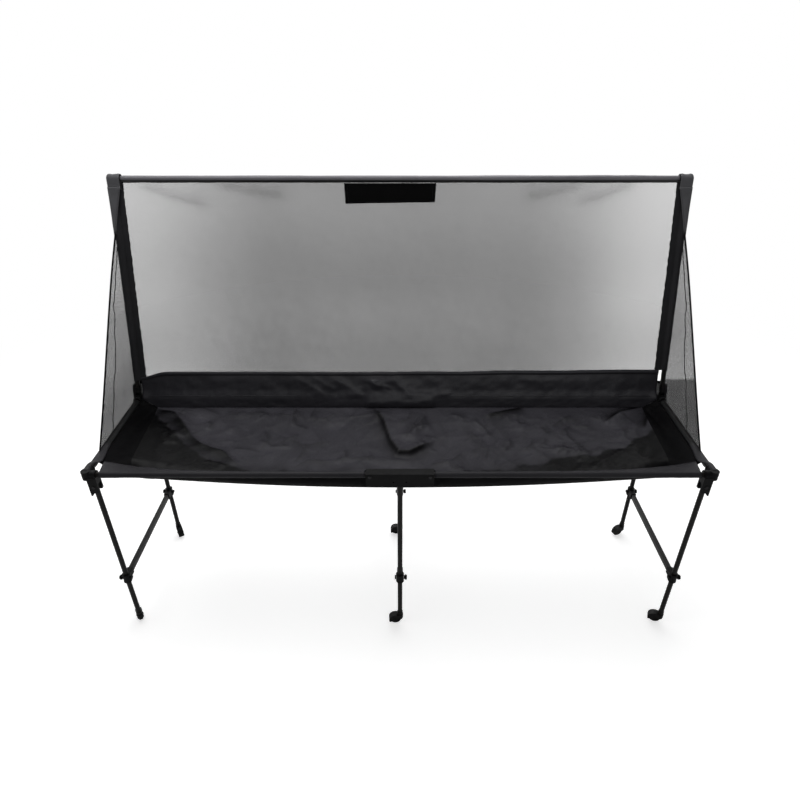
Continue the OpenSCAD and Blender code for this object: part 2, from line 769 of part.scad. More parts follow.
// Blank patch under the top hem, in front of the net
module label_patch() color(LABEL) on_mast()
    translate([-label_left - label_w / 2, -cloth_t - seat_gap - net_t, net_top + hem_tail / 2 - label_h])
        cube([label_w, net_t, label_h]);

// Outline that wraps a bar of radius r and hangs down from it to the foot of the cap
module cap_outline(r, drop) {
    circle(r = r);
    translate([-r, -drop]) square([2 * r, drop]);
}

// Cloth caps over the elbows, each with a gusset that tapers down the front of the sleeve
module corner_caps() color(CLOTH) on_mast() for (s = [-1, 1]) side(s) {
    cap_in = elbow_r + seat_gap;
    inner_x = side_x - socket_len;
    tip_x = side_x + hem_r;
    tip_w = 4;
    difference() {
        translate([inner_x, 0, mast_len]) rotate([90, 0, 90])
            linear_extrude(half_w - inner_x) cap_outline(cap_r, cap_drop);
        translate([inner_x - over, 0, mast_len]) rotate([90, 0, 90])
            linear_extrude(socket_len + cap_in + over) cap_outline(cap_in, cap_drop + over);
    }
    translate([0, -hem_r - seat_gap, mast_len - cap_drop]) rotate([90, 0, 0]) linear_extrude(cloth_t)
        polygon([[inner_x, 0], [half_w, 0], [tip_x, -gusset_len], [tip_x - tip_w, -gusset_len]]);
}

// ---------- side nets ----------

side_net_foot = 110;
side_net_low = 48;
side_net_cell = 44;
side_net_border = 9;
// The nets meet the gussets just above their tips
side_net_head = mast_len - cap_drop - gusset_len + 15;

// Place along the post and out behind it, as Y and Z in the rim's frame
function mast_point(along, out) = [y_back + along * sin(lean) + out * cos(lean),
                                   pivot_h + along * cos(lean) - out * sin(lean)];

// Side net outline, Y across and Z up: along the rim, round the bracket, up the post, and a free front edge
module side_net_outline(inset) {
    out = -hem_r - seat_gap - inset;
    foot_h = rim_h + hem_r + seat_gap + inset;
    socket_clear = 4;
    polygon([[y_front + side_net_foot + 2 * inset, foot_h],
             [y_back - socket_len - socket_clear - inset, foot_h],
             mast_point(side_net_low + inset, out),
             mast_point(side_net_head - 2 * inset, out)]);
}

module side_net(s) color(NET) side(s) translate([side_x - net_t / 2, 0, 0]) rotate([90, 0, 90])
    linear_extrude(net_t) {
        difference() {
            side_net_outline(0);
            side_net_outline(side_net_border);
        }
        intersection() {
            side_net_outline(over);
            union() {
                for (y = [y_front + side_net_foot:side_net_cell:y_back + mast_set])
                    translate([y, rim_h]) square([net_cord, mast_top_h - rim_h]);
                for (z = [rim_h + side_net_cell:side_net_cell:mast_top_h])
                    translate([y_front, z]) square([rim_d + mast_set, net_cord]);
            }
        }
    }

// ---------- build ----------

long_rim_tube(y_front, -1);  // front_rim_tube_left
long_rim_tube(y_front, 1);  // front_rim_tube_right
long_rim_tube(y_back, -1);  // rear_rim_tube_left
long_rim_tube(y_back, 1);  // rear_rim_tube_right
side_rim_tube(-1);  // side_rim_tube_left
side_rim_tube(1);  // side_rim_tube_right
corner_front(-1);  // corner_front_left
corner_front(1);  // corner_front_right
corner_rear(-1);  // corner_rear_left
corner_rear(1);  // corner_rear_right
centre_hinge_at(y_front);  // centre_hinge_front
centre_hinge_at(y_back);  // centre_hinge_rear
hinge_pins();
centre_leg(y_front);  // centre_leg_front
centre_leg(y_back);  // centre_leg_rear
collar_pair(0);  // centre_collars
brace(0);  // centre_brace
tray_floor();
tray_front();
tray_back();
tray_end(-1);  // tray_end_left
tray_end(1);  // tray_end_right
folding_leg(-leg_x, y_front);  // leg_front_left
folding_leg(-leg_x, y_back);  // leg_rear_left
leg_knuckles(-1);  // leg_knuckles_left
collar_pair(-leg_x);  // collars_left
brace(-leg_x);  // brace_left
folding_leg(leg_x, y_front);  // leg_front_right
folding_leg(leg_x, y_back);  // leg_rear_right
leg_knuckles(1);  // leg_knuckles_right
collar_pair(leg_x);  // collars_right
brace(leg_x);  // brace_right
post(-1);  // post_left
post(1);  // post_right
post_knuckles();
top_bar(-1);  // top_bar_left
top_bar(1);  // top_bar_right
top_ferrule();
top_elbows();
post_sleeve(-1);  // post_sleeve_left
post_sleeve(1);  // post_sleeve_right
top_hem();
back_net();
back_band();
label_patch();
corner_caps();
side_net(-1);  // side_net_left
side_net(1);  // side_net_right
caster_at(-leg_x, y_front, heading_fl);  // caster_front_left
caster_at(0, y_front, heading_fc);  // caster_front_centre
caster_at(leg_x, y_front, heading_fr);  // caster_front_right
caster_at(-leg_x, y_back, heading_rl);  // caster_rear_left
caster_at(0, y_back, heading_rc);  // caster_rear_centre
caster_at(leg_x, y_back, heading_rr);  // caster_rear_right
wheel_at(-leg_x, y_front, heading_fl);  // wheel_front_left
wheel_at(0, y_front, heading_fc);  // wheel_front_centre
wheel_at(leg_x, y_front, heading_fr);  // wheel_front_right
wheel_at(-leg_x, y_back, heading_rl);  // wheel_rear_left
wheel_at(0, y_back, heading_rc);  // wheel_rear_centre
wheel_at(leg_x, y_back, heading_rr);  // wheel_rear_right
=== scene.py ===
"""Looks of the folding ball-catch net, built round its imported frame. Metres, +Z up."""
import json
import math

import bpy
import numpy as np
from mathutils import Vector
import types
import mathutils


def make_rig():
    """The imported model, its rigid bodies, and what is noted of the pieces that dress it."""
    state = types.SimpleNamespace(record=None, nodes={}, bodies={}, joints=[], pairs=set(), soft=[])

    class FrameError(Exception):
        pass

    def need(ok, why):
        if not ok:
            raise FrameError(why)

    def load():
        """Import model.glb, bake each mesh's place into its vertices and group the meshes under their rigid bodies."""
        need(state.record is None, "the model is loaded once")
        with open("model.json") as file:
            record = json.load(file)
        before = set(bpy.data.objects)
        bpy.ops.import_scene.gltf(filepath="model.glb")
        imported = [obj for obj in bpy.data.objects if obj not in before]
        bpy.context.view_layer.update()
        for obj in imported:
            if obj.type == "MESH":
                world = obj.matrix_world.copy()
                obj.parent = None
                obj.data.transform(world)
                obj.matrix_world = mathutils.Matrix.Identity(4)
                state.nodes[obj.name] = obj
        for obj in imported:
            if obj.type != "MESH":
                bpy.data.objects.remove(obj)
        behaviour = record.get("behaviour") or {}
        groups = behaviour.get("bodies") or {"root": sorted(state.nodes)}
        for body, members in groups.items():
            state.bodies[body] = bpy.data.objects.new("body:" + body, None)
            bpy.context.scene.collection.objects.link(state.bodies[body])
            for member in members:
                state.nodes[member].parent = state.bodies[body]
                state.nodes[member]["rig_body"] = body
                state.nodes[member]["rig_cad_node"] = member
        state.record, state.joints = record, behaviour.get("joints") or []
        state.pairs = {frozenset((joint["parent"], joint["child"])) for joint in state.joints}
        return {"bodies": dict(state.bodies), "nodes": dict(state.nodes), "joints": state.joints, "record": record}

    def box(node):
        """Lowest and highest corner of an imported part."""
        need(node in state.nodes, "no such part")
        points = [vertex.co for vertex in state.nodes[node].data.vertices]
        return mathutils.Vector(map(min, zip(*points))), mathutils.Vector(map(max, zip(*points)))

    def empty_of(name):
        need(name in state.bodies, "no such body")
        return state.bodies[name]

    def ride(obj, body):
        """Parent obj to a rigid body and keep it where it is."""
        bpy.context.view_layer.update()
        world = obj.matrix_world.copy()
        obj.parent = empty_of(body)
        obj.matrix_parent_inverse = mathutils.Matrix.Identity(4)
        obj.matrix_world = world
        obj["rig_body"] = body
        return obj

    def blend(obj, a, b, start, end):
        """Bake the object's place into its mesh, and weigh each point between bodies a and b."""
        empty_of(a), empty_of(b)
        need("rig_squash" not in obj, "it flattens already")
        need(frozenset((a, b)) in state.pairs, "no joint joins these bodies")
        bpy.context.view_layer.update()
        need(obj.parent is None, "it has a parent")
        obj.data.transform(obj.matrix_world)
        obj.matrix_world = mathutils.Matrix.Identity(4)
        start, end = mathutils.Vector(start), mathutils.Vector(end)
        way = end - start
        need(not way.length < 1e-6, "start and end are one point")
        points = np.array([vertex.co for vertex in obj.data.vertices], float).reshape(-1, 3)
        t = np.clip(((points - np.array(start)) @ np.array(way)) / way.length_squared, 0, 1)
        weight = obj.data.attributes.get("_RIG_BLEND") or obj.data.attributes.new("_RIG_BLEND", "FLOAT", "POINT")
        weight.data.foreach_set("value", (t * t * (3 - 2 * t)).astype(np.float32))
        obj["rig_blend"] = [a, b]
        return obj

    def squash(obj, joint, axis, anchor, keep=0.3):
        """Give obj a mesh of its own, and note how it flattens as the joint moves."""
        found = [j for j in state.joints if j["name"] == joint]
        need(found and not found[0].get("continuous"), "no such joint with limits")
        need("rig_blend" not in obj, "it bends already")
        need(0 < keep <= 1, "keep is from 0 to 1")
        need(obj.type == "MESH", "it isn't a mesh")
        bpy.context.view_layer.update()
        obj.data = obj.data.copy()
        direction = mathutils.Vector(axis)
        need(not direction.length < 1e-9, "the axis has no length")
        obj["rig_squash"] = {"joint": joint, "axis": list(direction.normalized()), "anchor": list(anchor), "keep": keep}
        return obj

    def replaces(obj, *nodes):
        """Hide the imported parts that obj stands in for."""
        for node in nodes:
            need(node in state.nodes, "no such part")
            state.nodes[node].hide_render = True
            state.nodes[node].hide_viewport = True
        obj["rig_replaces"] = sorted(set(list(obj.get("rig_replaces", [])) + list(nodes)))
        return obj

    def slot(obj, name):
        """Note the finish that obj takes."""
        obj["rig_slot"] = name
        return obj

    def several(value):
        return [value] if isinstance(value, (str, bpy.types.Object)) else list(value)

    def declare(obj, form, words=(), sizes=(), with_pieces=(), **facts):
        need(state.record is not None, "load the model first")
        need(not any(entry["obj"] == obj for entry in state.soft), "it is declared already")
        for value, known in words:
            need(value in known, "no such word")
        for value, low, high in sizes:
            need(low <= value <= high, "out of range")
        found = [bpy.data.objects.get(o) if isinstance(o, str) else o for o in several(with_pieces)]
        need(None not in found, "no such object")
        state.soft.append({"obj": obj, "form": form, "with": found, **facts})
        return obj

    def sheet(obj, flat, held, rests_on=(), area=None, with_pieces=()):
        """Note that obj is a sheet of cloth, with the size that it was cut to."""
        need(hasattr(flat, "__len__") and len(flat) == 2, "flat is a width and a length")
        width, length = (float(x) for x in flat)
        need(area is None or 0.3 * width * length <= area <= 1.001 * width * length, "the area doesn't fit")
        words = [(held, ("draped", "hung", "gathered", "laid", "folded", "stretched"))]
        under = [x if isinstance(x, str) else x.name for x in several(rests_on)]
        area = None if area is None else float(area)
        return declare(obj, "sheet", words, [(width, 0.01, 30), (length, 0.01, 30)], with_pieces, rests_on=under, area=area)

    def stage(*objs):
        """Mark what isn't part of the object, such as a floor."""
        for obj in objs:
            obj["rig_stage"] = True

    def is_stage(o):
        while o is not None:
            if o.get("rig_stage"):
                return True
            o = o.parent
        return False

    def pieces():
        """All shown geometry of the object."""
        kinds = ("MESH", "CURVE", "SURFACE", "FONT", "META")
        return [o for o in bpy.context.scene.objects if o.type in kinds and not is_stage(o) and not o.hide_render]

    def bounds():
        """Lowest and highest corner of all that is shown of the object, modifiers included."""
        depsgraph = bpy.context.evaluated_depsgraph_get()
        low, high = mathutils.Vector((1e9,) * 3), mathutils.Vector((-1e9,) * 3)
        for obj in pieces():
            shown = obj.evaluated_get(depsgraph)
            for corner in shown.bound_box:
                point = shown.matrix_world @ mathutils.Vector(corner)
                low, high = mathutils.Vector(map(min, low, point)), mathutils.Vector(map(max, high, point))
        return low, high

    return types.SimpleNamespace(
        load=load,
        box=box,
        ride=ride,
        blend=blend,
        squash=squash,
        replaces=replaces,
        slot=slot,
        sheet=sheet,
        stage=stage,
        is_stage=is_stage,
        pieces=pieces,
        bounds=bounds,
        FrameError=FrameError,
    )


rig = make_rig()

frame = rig.load()
cad_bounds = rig.bounds()
MM = 0.001


# ---------- places taken from the frame ----------

def low(node):
    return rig.box(node)[0]


def high(node):
    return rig.box(node)[1]


def mid(node):
    return (low(node) + high(node)) / 2


joints = {j["name"]: j for j in frame["joints"]}
TUBE_R = (high("front_rim_tube_right").z - low("front_rim_tube_right").z) / 2
RIM_Z = mid("front_rim_tube_right").z
Y_FRONT = mid("front_rim_tube_right").y
Y_BACK = mid("rear_rim_tube_right").y
SIDE_X = mid("side_rim_tube_right").x
HALF_W = high("corner_front_right").x
DEPTH = Y_BACK - Y_FRONT
PIVOT = Vector(joints["mast_fold"]["pos_m"])
PIVOT_UP = PIVOT.z - RIM_Z
TOP = mid("top_bar_right")
LEAN = math.atan2(TOP.y - PIVOT.y, TOP.z - PIVOT.z)
SIN, COS = math.sin(LEAN), math.cos(LEAN)
MAST = math.hypot(TOP.y - PIVOT.y, TOP.z - PIVOT.z)
HOUSING = high("centre_hinge_front").x
HOUSING_Y = high("centre_hinge_front").y - Y_FRONT
CLOTH = 1.2 * MM
HEM_R = TUBE_R + 0.3 * MM + CLOTH / 2


def along_at(P):
    """Distance up the mast of points in the frame."""
    return (P[..., 1] - PIVOT.y) * SIN + (P[..., 2] - PIVOT.z) * COS


def foot_of(node):
    return along_at(np.array(low(node)))


def head_of(node):
    return along_at(np.array(high(node)))


SLEEVE_IN = low("post_sleeve_right").x
SLEEVE_FOOT = foot_of("post_sleeve_right")
NET_X = high("back_net").x
NET_FOOT = foot_of("back_net")
NET_TOP = head_of("back_net")
BAND_TOP = NET_FOOT
FLOOR_END_BACK = high("tray_floor").x
FLOOR_END_FRONT = FLOOR_END_BACK - 35 * MM


SIDES = {-1: "left", 1: "right"}


def mast(x, along, out):
    """Points in the frame from places on the mast; out is behind the plane of its tubes."""
    x, along, out = np.broadcast_arrays(x, along, out)
    return np.stack([x, PIVOT.y + along * SIN + out * COS, PIVOT.z + along * COS - out * SIN], -1)


def rim(x, y, z):
    """Points in the frame from places behind the front rim and above the rim's height."""
    x, y, z = np.broadcast_arrays(x, y, z)
    return np.stack([x, Y_FRONT + y, RIM_Z + z], -1)


# ---------- curves ----------

def lerp(a, b, t):
    return a + (b - a) * t


def smooth(t):
    t = np.clip(t, 0, 1)
    return t * t * (3 - 2 * t)


def bump(x, centre, width):
    return np.exp(-((x - centre) / width) ** 2)


def inside(share, times):
    """0 at a border, and 1 from one part in times inward."""
    return np.clip(share * times, 0, 1)


def running(steps):
    """The sum so far before each step, and the total."""
    return np.concatenate([[0], np.cumsum(steps)])


def ripple(a, b, seed, size, octaves=3):
    """Soft seeded waves over two coordinates, about -1 to 1; size is the longest wave."""
    rng = np.random.default_rng(seed)
    total = np.zeros(np.broadcast(a, b).shape)
    weight = 0.0
    for o in range(octaves):
        for _ in range(5):
            ang = rng.uniform(0, 2 * math.pi)
            k = 2 * math.pi / (size * rng.uniform(0.7, 1.4) / 2 ** o)
            w = 0.6 ** o
            phase = rng.uniform(0, 2 * math.pi)
            total = total + w * np.sin(k * (a * math.cos(ang) + b * math.sin(ang)) + phase)
            weight += w * w / 2
    return total / math.sqrt(weight) / 2


def ridged(a, b, seed, size):
    """Crumples: flat facets between sharp creases, about -1 to 1."""
    first = np.abs(ripple(a, b, seed, size, 1))
    second = np.abs(ripple(a, b, seed + 1, size * 0.8, 1))
    return 1 - 2.2 * np.minimum(first, second)


def crease(x, y, line, height, gentle, steep):
    """A ridge along a line, gentle on its left and steep on its right, dying out at its ends."""
    line = np.asarray(line, float)
    best = np.full(np.shape(x), 1e9)
    side = np.zeros(np.shape(x))
    run = np.zeros(np.shape(x))
    seg = np.linalg.norm(np.diff(line, axis=0), axis=1)
    start = running(seg)
    for i in range(len(line) - 1):
        a, d = line[i], line[i + 1] - line[i]
        t = np.clip(((x - a[0]) * d[0] + (y - a[1]) * d[1]) / (d @ d), 0, 1)
        dx, dy = x - a[0] - t * d[0], y - a[1] - t * d[1]
        dist = np.hypot(dx, dy)
        closer = dist < best
        best = np.where(closer, dist, best)
        side = np.where(closer, d[0] * dy - d[1] * dx, side)
        run = np.where(closer, start[i] + t * seg[i], run)
    wide = np.where(side > 0, gentle, steep)
    fading = 0.25 * start[-1]
    ends = smooth(run / fading + 0.25) * smooth((start[-1] - run) / fading + 0.25)
    near = np.sqrt(best ** 2 + (0.12 * wide) ** 2) - 0.12 * wide
    return height * ends * np.exp(-near / wide)


def creases(x, y, table):
    """All the creases of a table of lines, heights and widths of the gentle and steep sides in mm."""
    return sum(crease(x, y, line, h * MM, gentle * MM, steep * MM) for line, h, gentle, steep in table)


# ---------- mesh helpers ----------

def add_mesh(name, verts, faces, material, uv=None):
    me = bpy.data.meshes.new(name)
    me.from_pydata([tuple(v) for v in verts], [], [tuple(int(i) for i in f) for f in faces])
    me.update()
    me.materials.append(material)
    me.polygons.foreach_set("use_smooth", [True] * len(me.polygons))
    if uv is not None:
        layer = me.uv_layers.new(name="cloth")
        loops = np.zeros(len(me.loops), np.int32)
        me.loops.foreach_get("vertex_index", loops)
        layer.data.foreach_set("uv", np.asarray(uv, np.float32)[loops].ravel())
    ob = bpy.data.objects.new(name, me)
    bpy.context.scene.collection.objects.link(ob)
    return ob


def arc_uv(P):
    """Flat coordinates of a grid of points, in metres along its two directions."""
    u = running(np.linalg.norm(np.diff(P, axis=0), axis=-1).mean(1))
    v = running(np.linalg.norm(np.diff(P, axis=1), axis=-1).mean(0))
    return np.stack(np.meshgrid(u, v, indexing="ij"), -1)


def grid_faces(nu, nv):
    i = np.arange(nu - 1)[:, None] * nv
    j = np.arange(nv - 1)[None, :]
    return np.stack([i + j, i + nv + j, i + nv + j + 1, i + j + 1], -1).reshape(-1, 4)


def normals_of(P):
    n = np.cross(np.gradient(P, axis=0), np.gradient(P, axis=1))
    return n / np.maximum(np.linalg.norm(n, axis=-1, keepdims=True), 1e-12)


def cloth_sheet(name, P, material, thick=CLOTH):
    """A closed thin sheet over a grid of points, which lie on its middle."""
    nu, nv = P.shape[:2]
    n = normals_of(P) * thick / 2
    verts = np.concatenate([(P + n).reshape(-1, 3), (P - n).reshape(-1, 3)])
    upper = grid_faces(nu, nv)
    count = nu * nv
    ring = np.concatenate([np.arange(nu) * nv, (nu - 1) * nv + np.arange(1, nv),
                           (np.arange(nu - 2, -1, -1)) * nv + nv - 1, np.arange(nv - 2, 0, -1)])
    after = np.roll(ring, -1)
    border = np.stack([ring, ring + count, after + count, after], -1)
    faces = np.concatenate([upper, upper[:, ::-1] + count, border])
    flat = arc_uv(P).reshape(-1, 2)
    return add_mesh(name, verts, faces, material, np.concatenate([flat, flat]))


def net_sheet(name, P, material, uv):
    """A single layer of netting over a grid of points."""
    return add_mesh(name, P.reshape(-1, 3), grid_faces(*P.shape[:2]), material, uv.reshape(-1, 2))


def swept(stations, section):
    """Cross-sections along a run, as three grids: the station and the section's two coordinates."""
    rows = np.array([section(at) for at in stations])
    return np.repeat(stations[:, None], rows.shape[1], 1), rows[..., 0], rows[..., 1]


def mark(ob, name, rule):
    """Give a mesh an attribute, worked out from its points."""
    at = np.empty(len(ob.data.vertices) * 3)
    ob.data.vertices.foreach_get("co", at)
    layer = ob.data.attributes.new(name, "FLOAT", "POINT")
    layer.data.foreach_set("value", rule(at.reshape(-1, 3)).astype(np.float32))


def apply_modifiers(ob):
    deps = bpy.context.evaluated_depsgraph_get()
    me = bpy.data.meshes.new_from_object(ob.evaluated_get(deps), depsgraph=deps)
    ob.modifiers.clear()
    ob.data = me
    me.polygons.foreach_set("use_smooth", [True] * len(me.polygons))


def resample(path, step):
    """Points at even steps along a path."""
    s = running(np.linalg.norm(np.diff(path, axis=0), axis=1))
    t = np.linspace(0, s[-1], max(2, int(round(s[-1] / step)) + 1))
    return np.stack([np.interp(t, s, path[:, k]) for k in range(3)], -1)


def stitches(name, paths, pitch=5.5 * MM, fill=0.62, r=0.5 * MM):
    """Rows of raised stitches along lines that lie on the cloth: six-sided, pointed at both ends."""
    verts, faces = [], []
    for path in paths:
        pts = resample(path, pitch)
        for a, b in zip(pts[:-1], pts[1:]):
            d = (b - a) * fill
            c = (a + b) / 2
            e = d / np.linalg.norm(d)
            s = np.cross(e, [0.31, 0.42, 0.85])
            s /= np.linalg.norm(s)
            t = np.cross(e, s)
            base = len(verts)
            verts.append(c - d / 2)
            for k in (-0.25, 0.25):
                for m in range(6):
                    ang = m * math.pi / 3
                    verts.append(c + k * d + r * (math.cos(ang) * s + math.sin(ang) * t))
            verts.append(c + d / 2)
            for m in range(6):
                n = (m + 1) % 6
                faces.append((base, base + 1 + n, base + 1 + m))
                faces.append((base + 1 + m, base + 1 + n, base + 7 + n))
                faces.append((base + 1 + m, base + 7 + n, base + 7 + m))
                faces.append((base + 13, base + 7 + m, base + 7 + n))
    return add_mesh(name, verts, faces, THREAD)


def put(body, slot, *pieces):
    """Ride finished pieces on a body, with the slot that their looks belong to."""
    for ob in pieces:
        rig.ride(ob, body)
        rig.slot(ob, slot)


# ---------- materials ----------

class Tree:
    """Builds a node tree. Inputs come in their order, as sockets, values or None for the default."""

    def __init__(self, owner):
        owner.use_nodes = True
        self.t = owner.node_tree
        self.t.nodes.clear()

    def node(self, kind, *inputs, **settings):
        node = self.t.nodes.new(kind)
        for k, v in settings.items():
            setattr(node, k, v)
        for i, v in enumerate(inputs):
            self.fill(node.inputs[i], v)
        return node

    def fill(self, socket, v):
        if hasattr(v, "links"):
            self.t.links.new(v, socket)
        elif v is not None:
            socket.default_value = v

    def math(self, operation, a, b=None):
        return self.node("ShaderNodeMath", a, b, operation=operation).outputs[0]

    def fade(self, value, start, end, low_v, high_v, kind="SMOOTHSTEP"):
        """Goes from low_v to high_v as value goes from start to end."""
        node = self.node("ShaderNodeMapRange", value, start, end, low_v, high_v, interpolation_type=kind)
        return node.outputs["Result"]

    def split(self, vector):
        return self.node("ShaderNodeSeparateXYZ", vector).outputs


class Material(Tree):
    """One procedural material."""

    def __init__(self, name):
        self.m = bpy.data.materials.new(name)
        super().__init__(self.m)
        self.bsdf = self.node("ShaderNodeBsdfPrincipled")
        self.node("ShaderNodeOutputMaterial", self.bsdf.outputs[0])
        self.place = self.node("ShaderNodeTexCoord").outputs["Object"]
        self.uv = self.node("ShaderNodeUVMap", uv_map="cloth").outputs[0]

    def noise(self, scale, detail, rough=0.55):
        return self.node("ShaderNodeTexNoise", self.place, None, scale, detail, rough).outputs[0]

    def tones(self, value, dark, light):
        """Passes from the dark to the light colour over the middle of value's range."""
        node = self.node("ShaderNodeValToRGB", value)
        for stop, at, colour in zip(node.color_ramp.elements, (0.3, 0.7), (dark, light)):
            stop.position = at
            stop.color = (*colour, 1)
        return node.outputs[0]

    def attribute(self, name):
        return self.node("ShaderNodeAttribute", attribute_name=name).outputs["Fac"]

    def relief(self, *layers):
        """Bumps laid over each other: (height, depth in metres)."""
        normal = None
        for height, depth in layers:
            node = self.node("ShaderNodeBump", 1.0, depth)
            self.fill(node.inputs["Height"], height)
            self.fill(node.inputs["Normal"], normal)
            normal = node.outputs[0]
        self.fill(self.bsdf.inputs["Normal"], normal)

    def set(self, **values):
        for k, v in values.items():
            self.fill(self.bsdf.inputs[k.replace("_", " ")], v)

    def worn_roughness(self, scale, rough):
        worn = self.noise(scale, 4.0)
        self.set(Roughness=self.fade(worn, 0.0, 1.0, rough - 0.06, rough + 0.08, "LINEAR"))

    def weave(self, pitch):
        """Height of a plain weave, one thread over and one under."""
        across = self.split(self.uv)
        k = math.pi / pitch
        warp = self.math("SINE", self.math("MULTIPLY", across[0], k))
        weft = self.math("SINE", self.math("MULTIPLY", across[1], k))
        return self.math("ABSOLUTE", self.math("MULTIPLY", warp, weft))


def cloth_material(name, dark, light, rough, weave=0.9 * MM, spec=0.35, crumple=0.25 * MM, soiled=None):
    """Coated woven cloth. Where the mesh's attribute is 1, it takes the painted-shade colour given as the argument of
    the same name.
    """
    n = Material(name)
    tone = n.tones(n.noise(5.0, 5.0), dark, light)
    if soiled:
        blend = n.node("ShaderNodeMix", n.attribute("soiled"), data_type="RGBA")
        n.fill(blend.inputs[6], tone)
        n.fill(blend.inputs[7], (*soiled, 1))
        tone = blend.outputs[2]
    n.set(Base_Color=tone, Specular_IOR_Level=spec)
    n.worn_roughness(38.0, rough)
    n.relief((n.noise(42.0, 5.0, 0.6), crumple), (n.weave(weave), 0.05 * MM))
    return n.m


def hard_material(name, colour, rough, spec, grain, depth=0.03 * MM, metallic=0.0, coat=0.0):
    """Paint, plastic, rubber or steel, a little lighter in places, with a fine grain."""
    n = Material(name)
    light = tuple(c * 1.35 + 0.002 for c in colour)
    n.set(Base_Color=n.tones(n.noise(24.0, 4.0), colour, light))
    n.set(Metallic=metallic, Specular_IOR_Level=spec, Coat_Weight=coat, Coat_Roughness=0.2)
    n.worn_roughness(60.0, rough)
    n.relief((n.noise(grain, 2.0), depth))
    return n.m


# The floor cloth's darkest colour is painted shade for its front, corners, folds and crumples
FLOOR_CLOTH = cloth_material("tray_cloth", (0.045, 0.0434, 0.0512), (0.058, 0.056, 0.0654), 0.36, spec=0.13,
                             crumple=0.5 * MM, soiled=(0.0018, 0.0017, 0.0021))
# The floor's cloth made darker: painted shade for the end walls and the front wall
WALL_CLOTH = cloth_material("wall_cloth", (0.0018, 0.0017, 0.0021), (0.003, 0.0029, 0.0034), 0.55, spec=0.05,
                            crumple=0.3 * MM)
BAND_CLOTH = cloth_material("band_cloth", (0.0225, 0.022, 0.0265), (0.031, 0.0302, 0.036), 0.35, spec=0.46)
# The hem cloth's darkest colour is painted shade, used on the side hems behind the side nets
HEM_CLOTH = cloth_material("hem_cloth", (0.015, 0.0145, 0.0175), (0.023, 0.022, 0.0255), 0.5, spec=0.22,
                           soiled=(0.003, 0.003, 0.0034))
# A much lighter copy of the hem cloth: painted sheen of the overhead light on the top hem, with painted shade as its
# darkest colour for the seam
TOP_CLOTH = cloth_material("top_hem_cloth", (0.125, 0.121, 0.136), (0.175, 0.17, 0.186), 0.36, spec=0.55,
                           soiled=(0.006, 0.006, 0.007))
SLEEVE_CLOTH = cloth_material("sleeve_cloth", (0.0195, 0.0195, 0.0215), (0.03, 0.03, 0.0325), 0.62, spec=0.15)
CAP_CLOTH = cloth_material("cap_cloth", (0.088, 0.088, 0.094), (0.122, 0.122, 0.129), 0.62, spec=0.25)
LABEL_CLOTH = cloth_material("label_cloth", (0.0014, 0.0014, 0.0016), (0.0024, 0.0024, 0.0026), 0.75,
                             weave=0.7 * MM, spec=0.08)
TAPE_CLOTH = cloth_material("tape_cloth", (0.0045, 0.0045, 0.005), (0.0075, 0.0075, 0.008), 0.6,
                            weave=1.2 * MM, spec=0.2, crumple=0.1 * MM)
THREAD = hard_material("thread", (0.01, 0.01, 0.011), 0.6, 0.2, 2500.0)
PAINT = hard_material("tube_paint", (0.005, 0.0041, 0.0036), 0.34, 0.2, 420.0, depth=0.02 * MM, coat=0.05)
PLASTIC = hard_material("moulded_plastic", (0.004, 0.004, 0.0043), 0.46, 0.12, 1600.0, depth=0.04 * MM)
CASTER = hard_material("caster_plastic", (0.0042, 0.0042, 0.0044), 0.45, 0.16, 1400.0)
RUBBER = hard_material("tyre_rubber", (0.005, 0.0048, 0.0047), 0.72, 0.15, 1100.0, depth=0.06 * MM)
STEEL = hard_material("pin_steel", (0.03, 0.03, 0.031), 0.42, 0.4, 700.0, depth=0.02 * MM, metallic=0.9)
NET_COLOUR = (0.014, 0.013, 0.014)
NET_COLOUR_LIGHT = tuple(c * 1.5 for c in NET_COLOUR)
SLANT = 0.575


def net_material(name, holes, pitch, shade):
    """Fine knitted netting: small round holes between cords. holes is the open share; shade adds to it
    as (axis, from, to, amount), where the axis across is the distance from the middle and slant leans
    forward. The mesh's attribute folded takes away from it, where the netting lies double."""
    n = Material(name)
    x, y, z = n.split(n.place)
    axes = {"x": x, "z": z, "across": n.math("ABSOLUTE", x),
            "slant": n.math("ADD", z, n.math("MULTIPLY", y, SLANT))}
    u, v = n.split(n.uv)[:2]
    k = 2 * math.pi / pitch * 0.707
    one = n.math("COSINE", n.math("MULTIPLY", n.math("ADD", u, v), k))
    other = n.math("COSINE", n.math("MULTIPLY", n.math("SUBTRACT", u, v), k))
    wave = n.math("MULTIPLY", n.math("ADD", one, other), 0.5)
    uneven = n.math("MULTIPLY", n.math("SUBTRACT", n.noise(2.2, 3.0), 0.5), 0.1)
    share = n.math("ADD", holes, uneven)
    for axis, start, end, amount in shade:
        share = n.math("ADD", share, n.fade(axes[axis], start, end, 0.0, amount))
    share = n.math("SUBTRACT", share, n.attribute("folded"))
    # the height above which a share of the wave lies, near enough between 0.1 and 0.6
    level = n.math("SUBTRACT", 0.72, n.math("MULTIPLY", share, 1.42))
    cord = n.fade(n.math("SUBTRACT", level, wave), -0.22, 0.22, 0.0, 1.0, "LINEAR")
    n.set(Base_Color=n.tones(n.noise(700.0, 2.0), NET_COLOUR, NET_COLOUR_LIGHT))
    n.set(Alpha=cord, Roughness=0.6, Specular_IOR_Level=0.15)
    n.relief((wave, 0.2 * MM))
    return n.m


NET = net_material("back_netting", 0.103, 2.9 * MM,
                   (("across", 0.4, 0.92, 0.25), ("x", 0.3, 0.9, 0.07), ("z", 0.8, 1.02, 0.1),
                    ("z", 1.05, 1.38, 0.09)))
SIDE_NETS = {"left": net_material("side_netting_left", 0.018, 3.4 * MM,
                                  (("z", 0.72, 0.92, 0.17), ("z", 0.9, 1.1, 0.14))),
             "right": net_material("side_netting_right", -0.07, 3.4 * MM,
                                   (("slant", 0.806, 0.819, 0.29), ("z", 0.9, 1.1, 0.06)))}

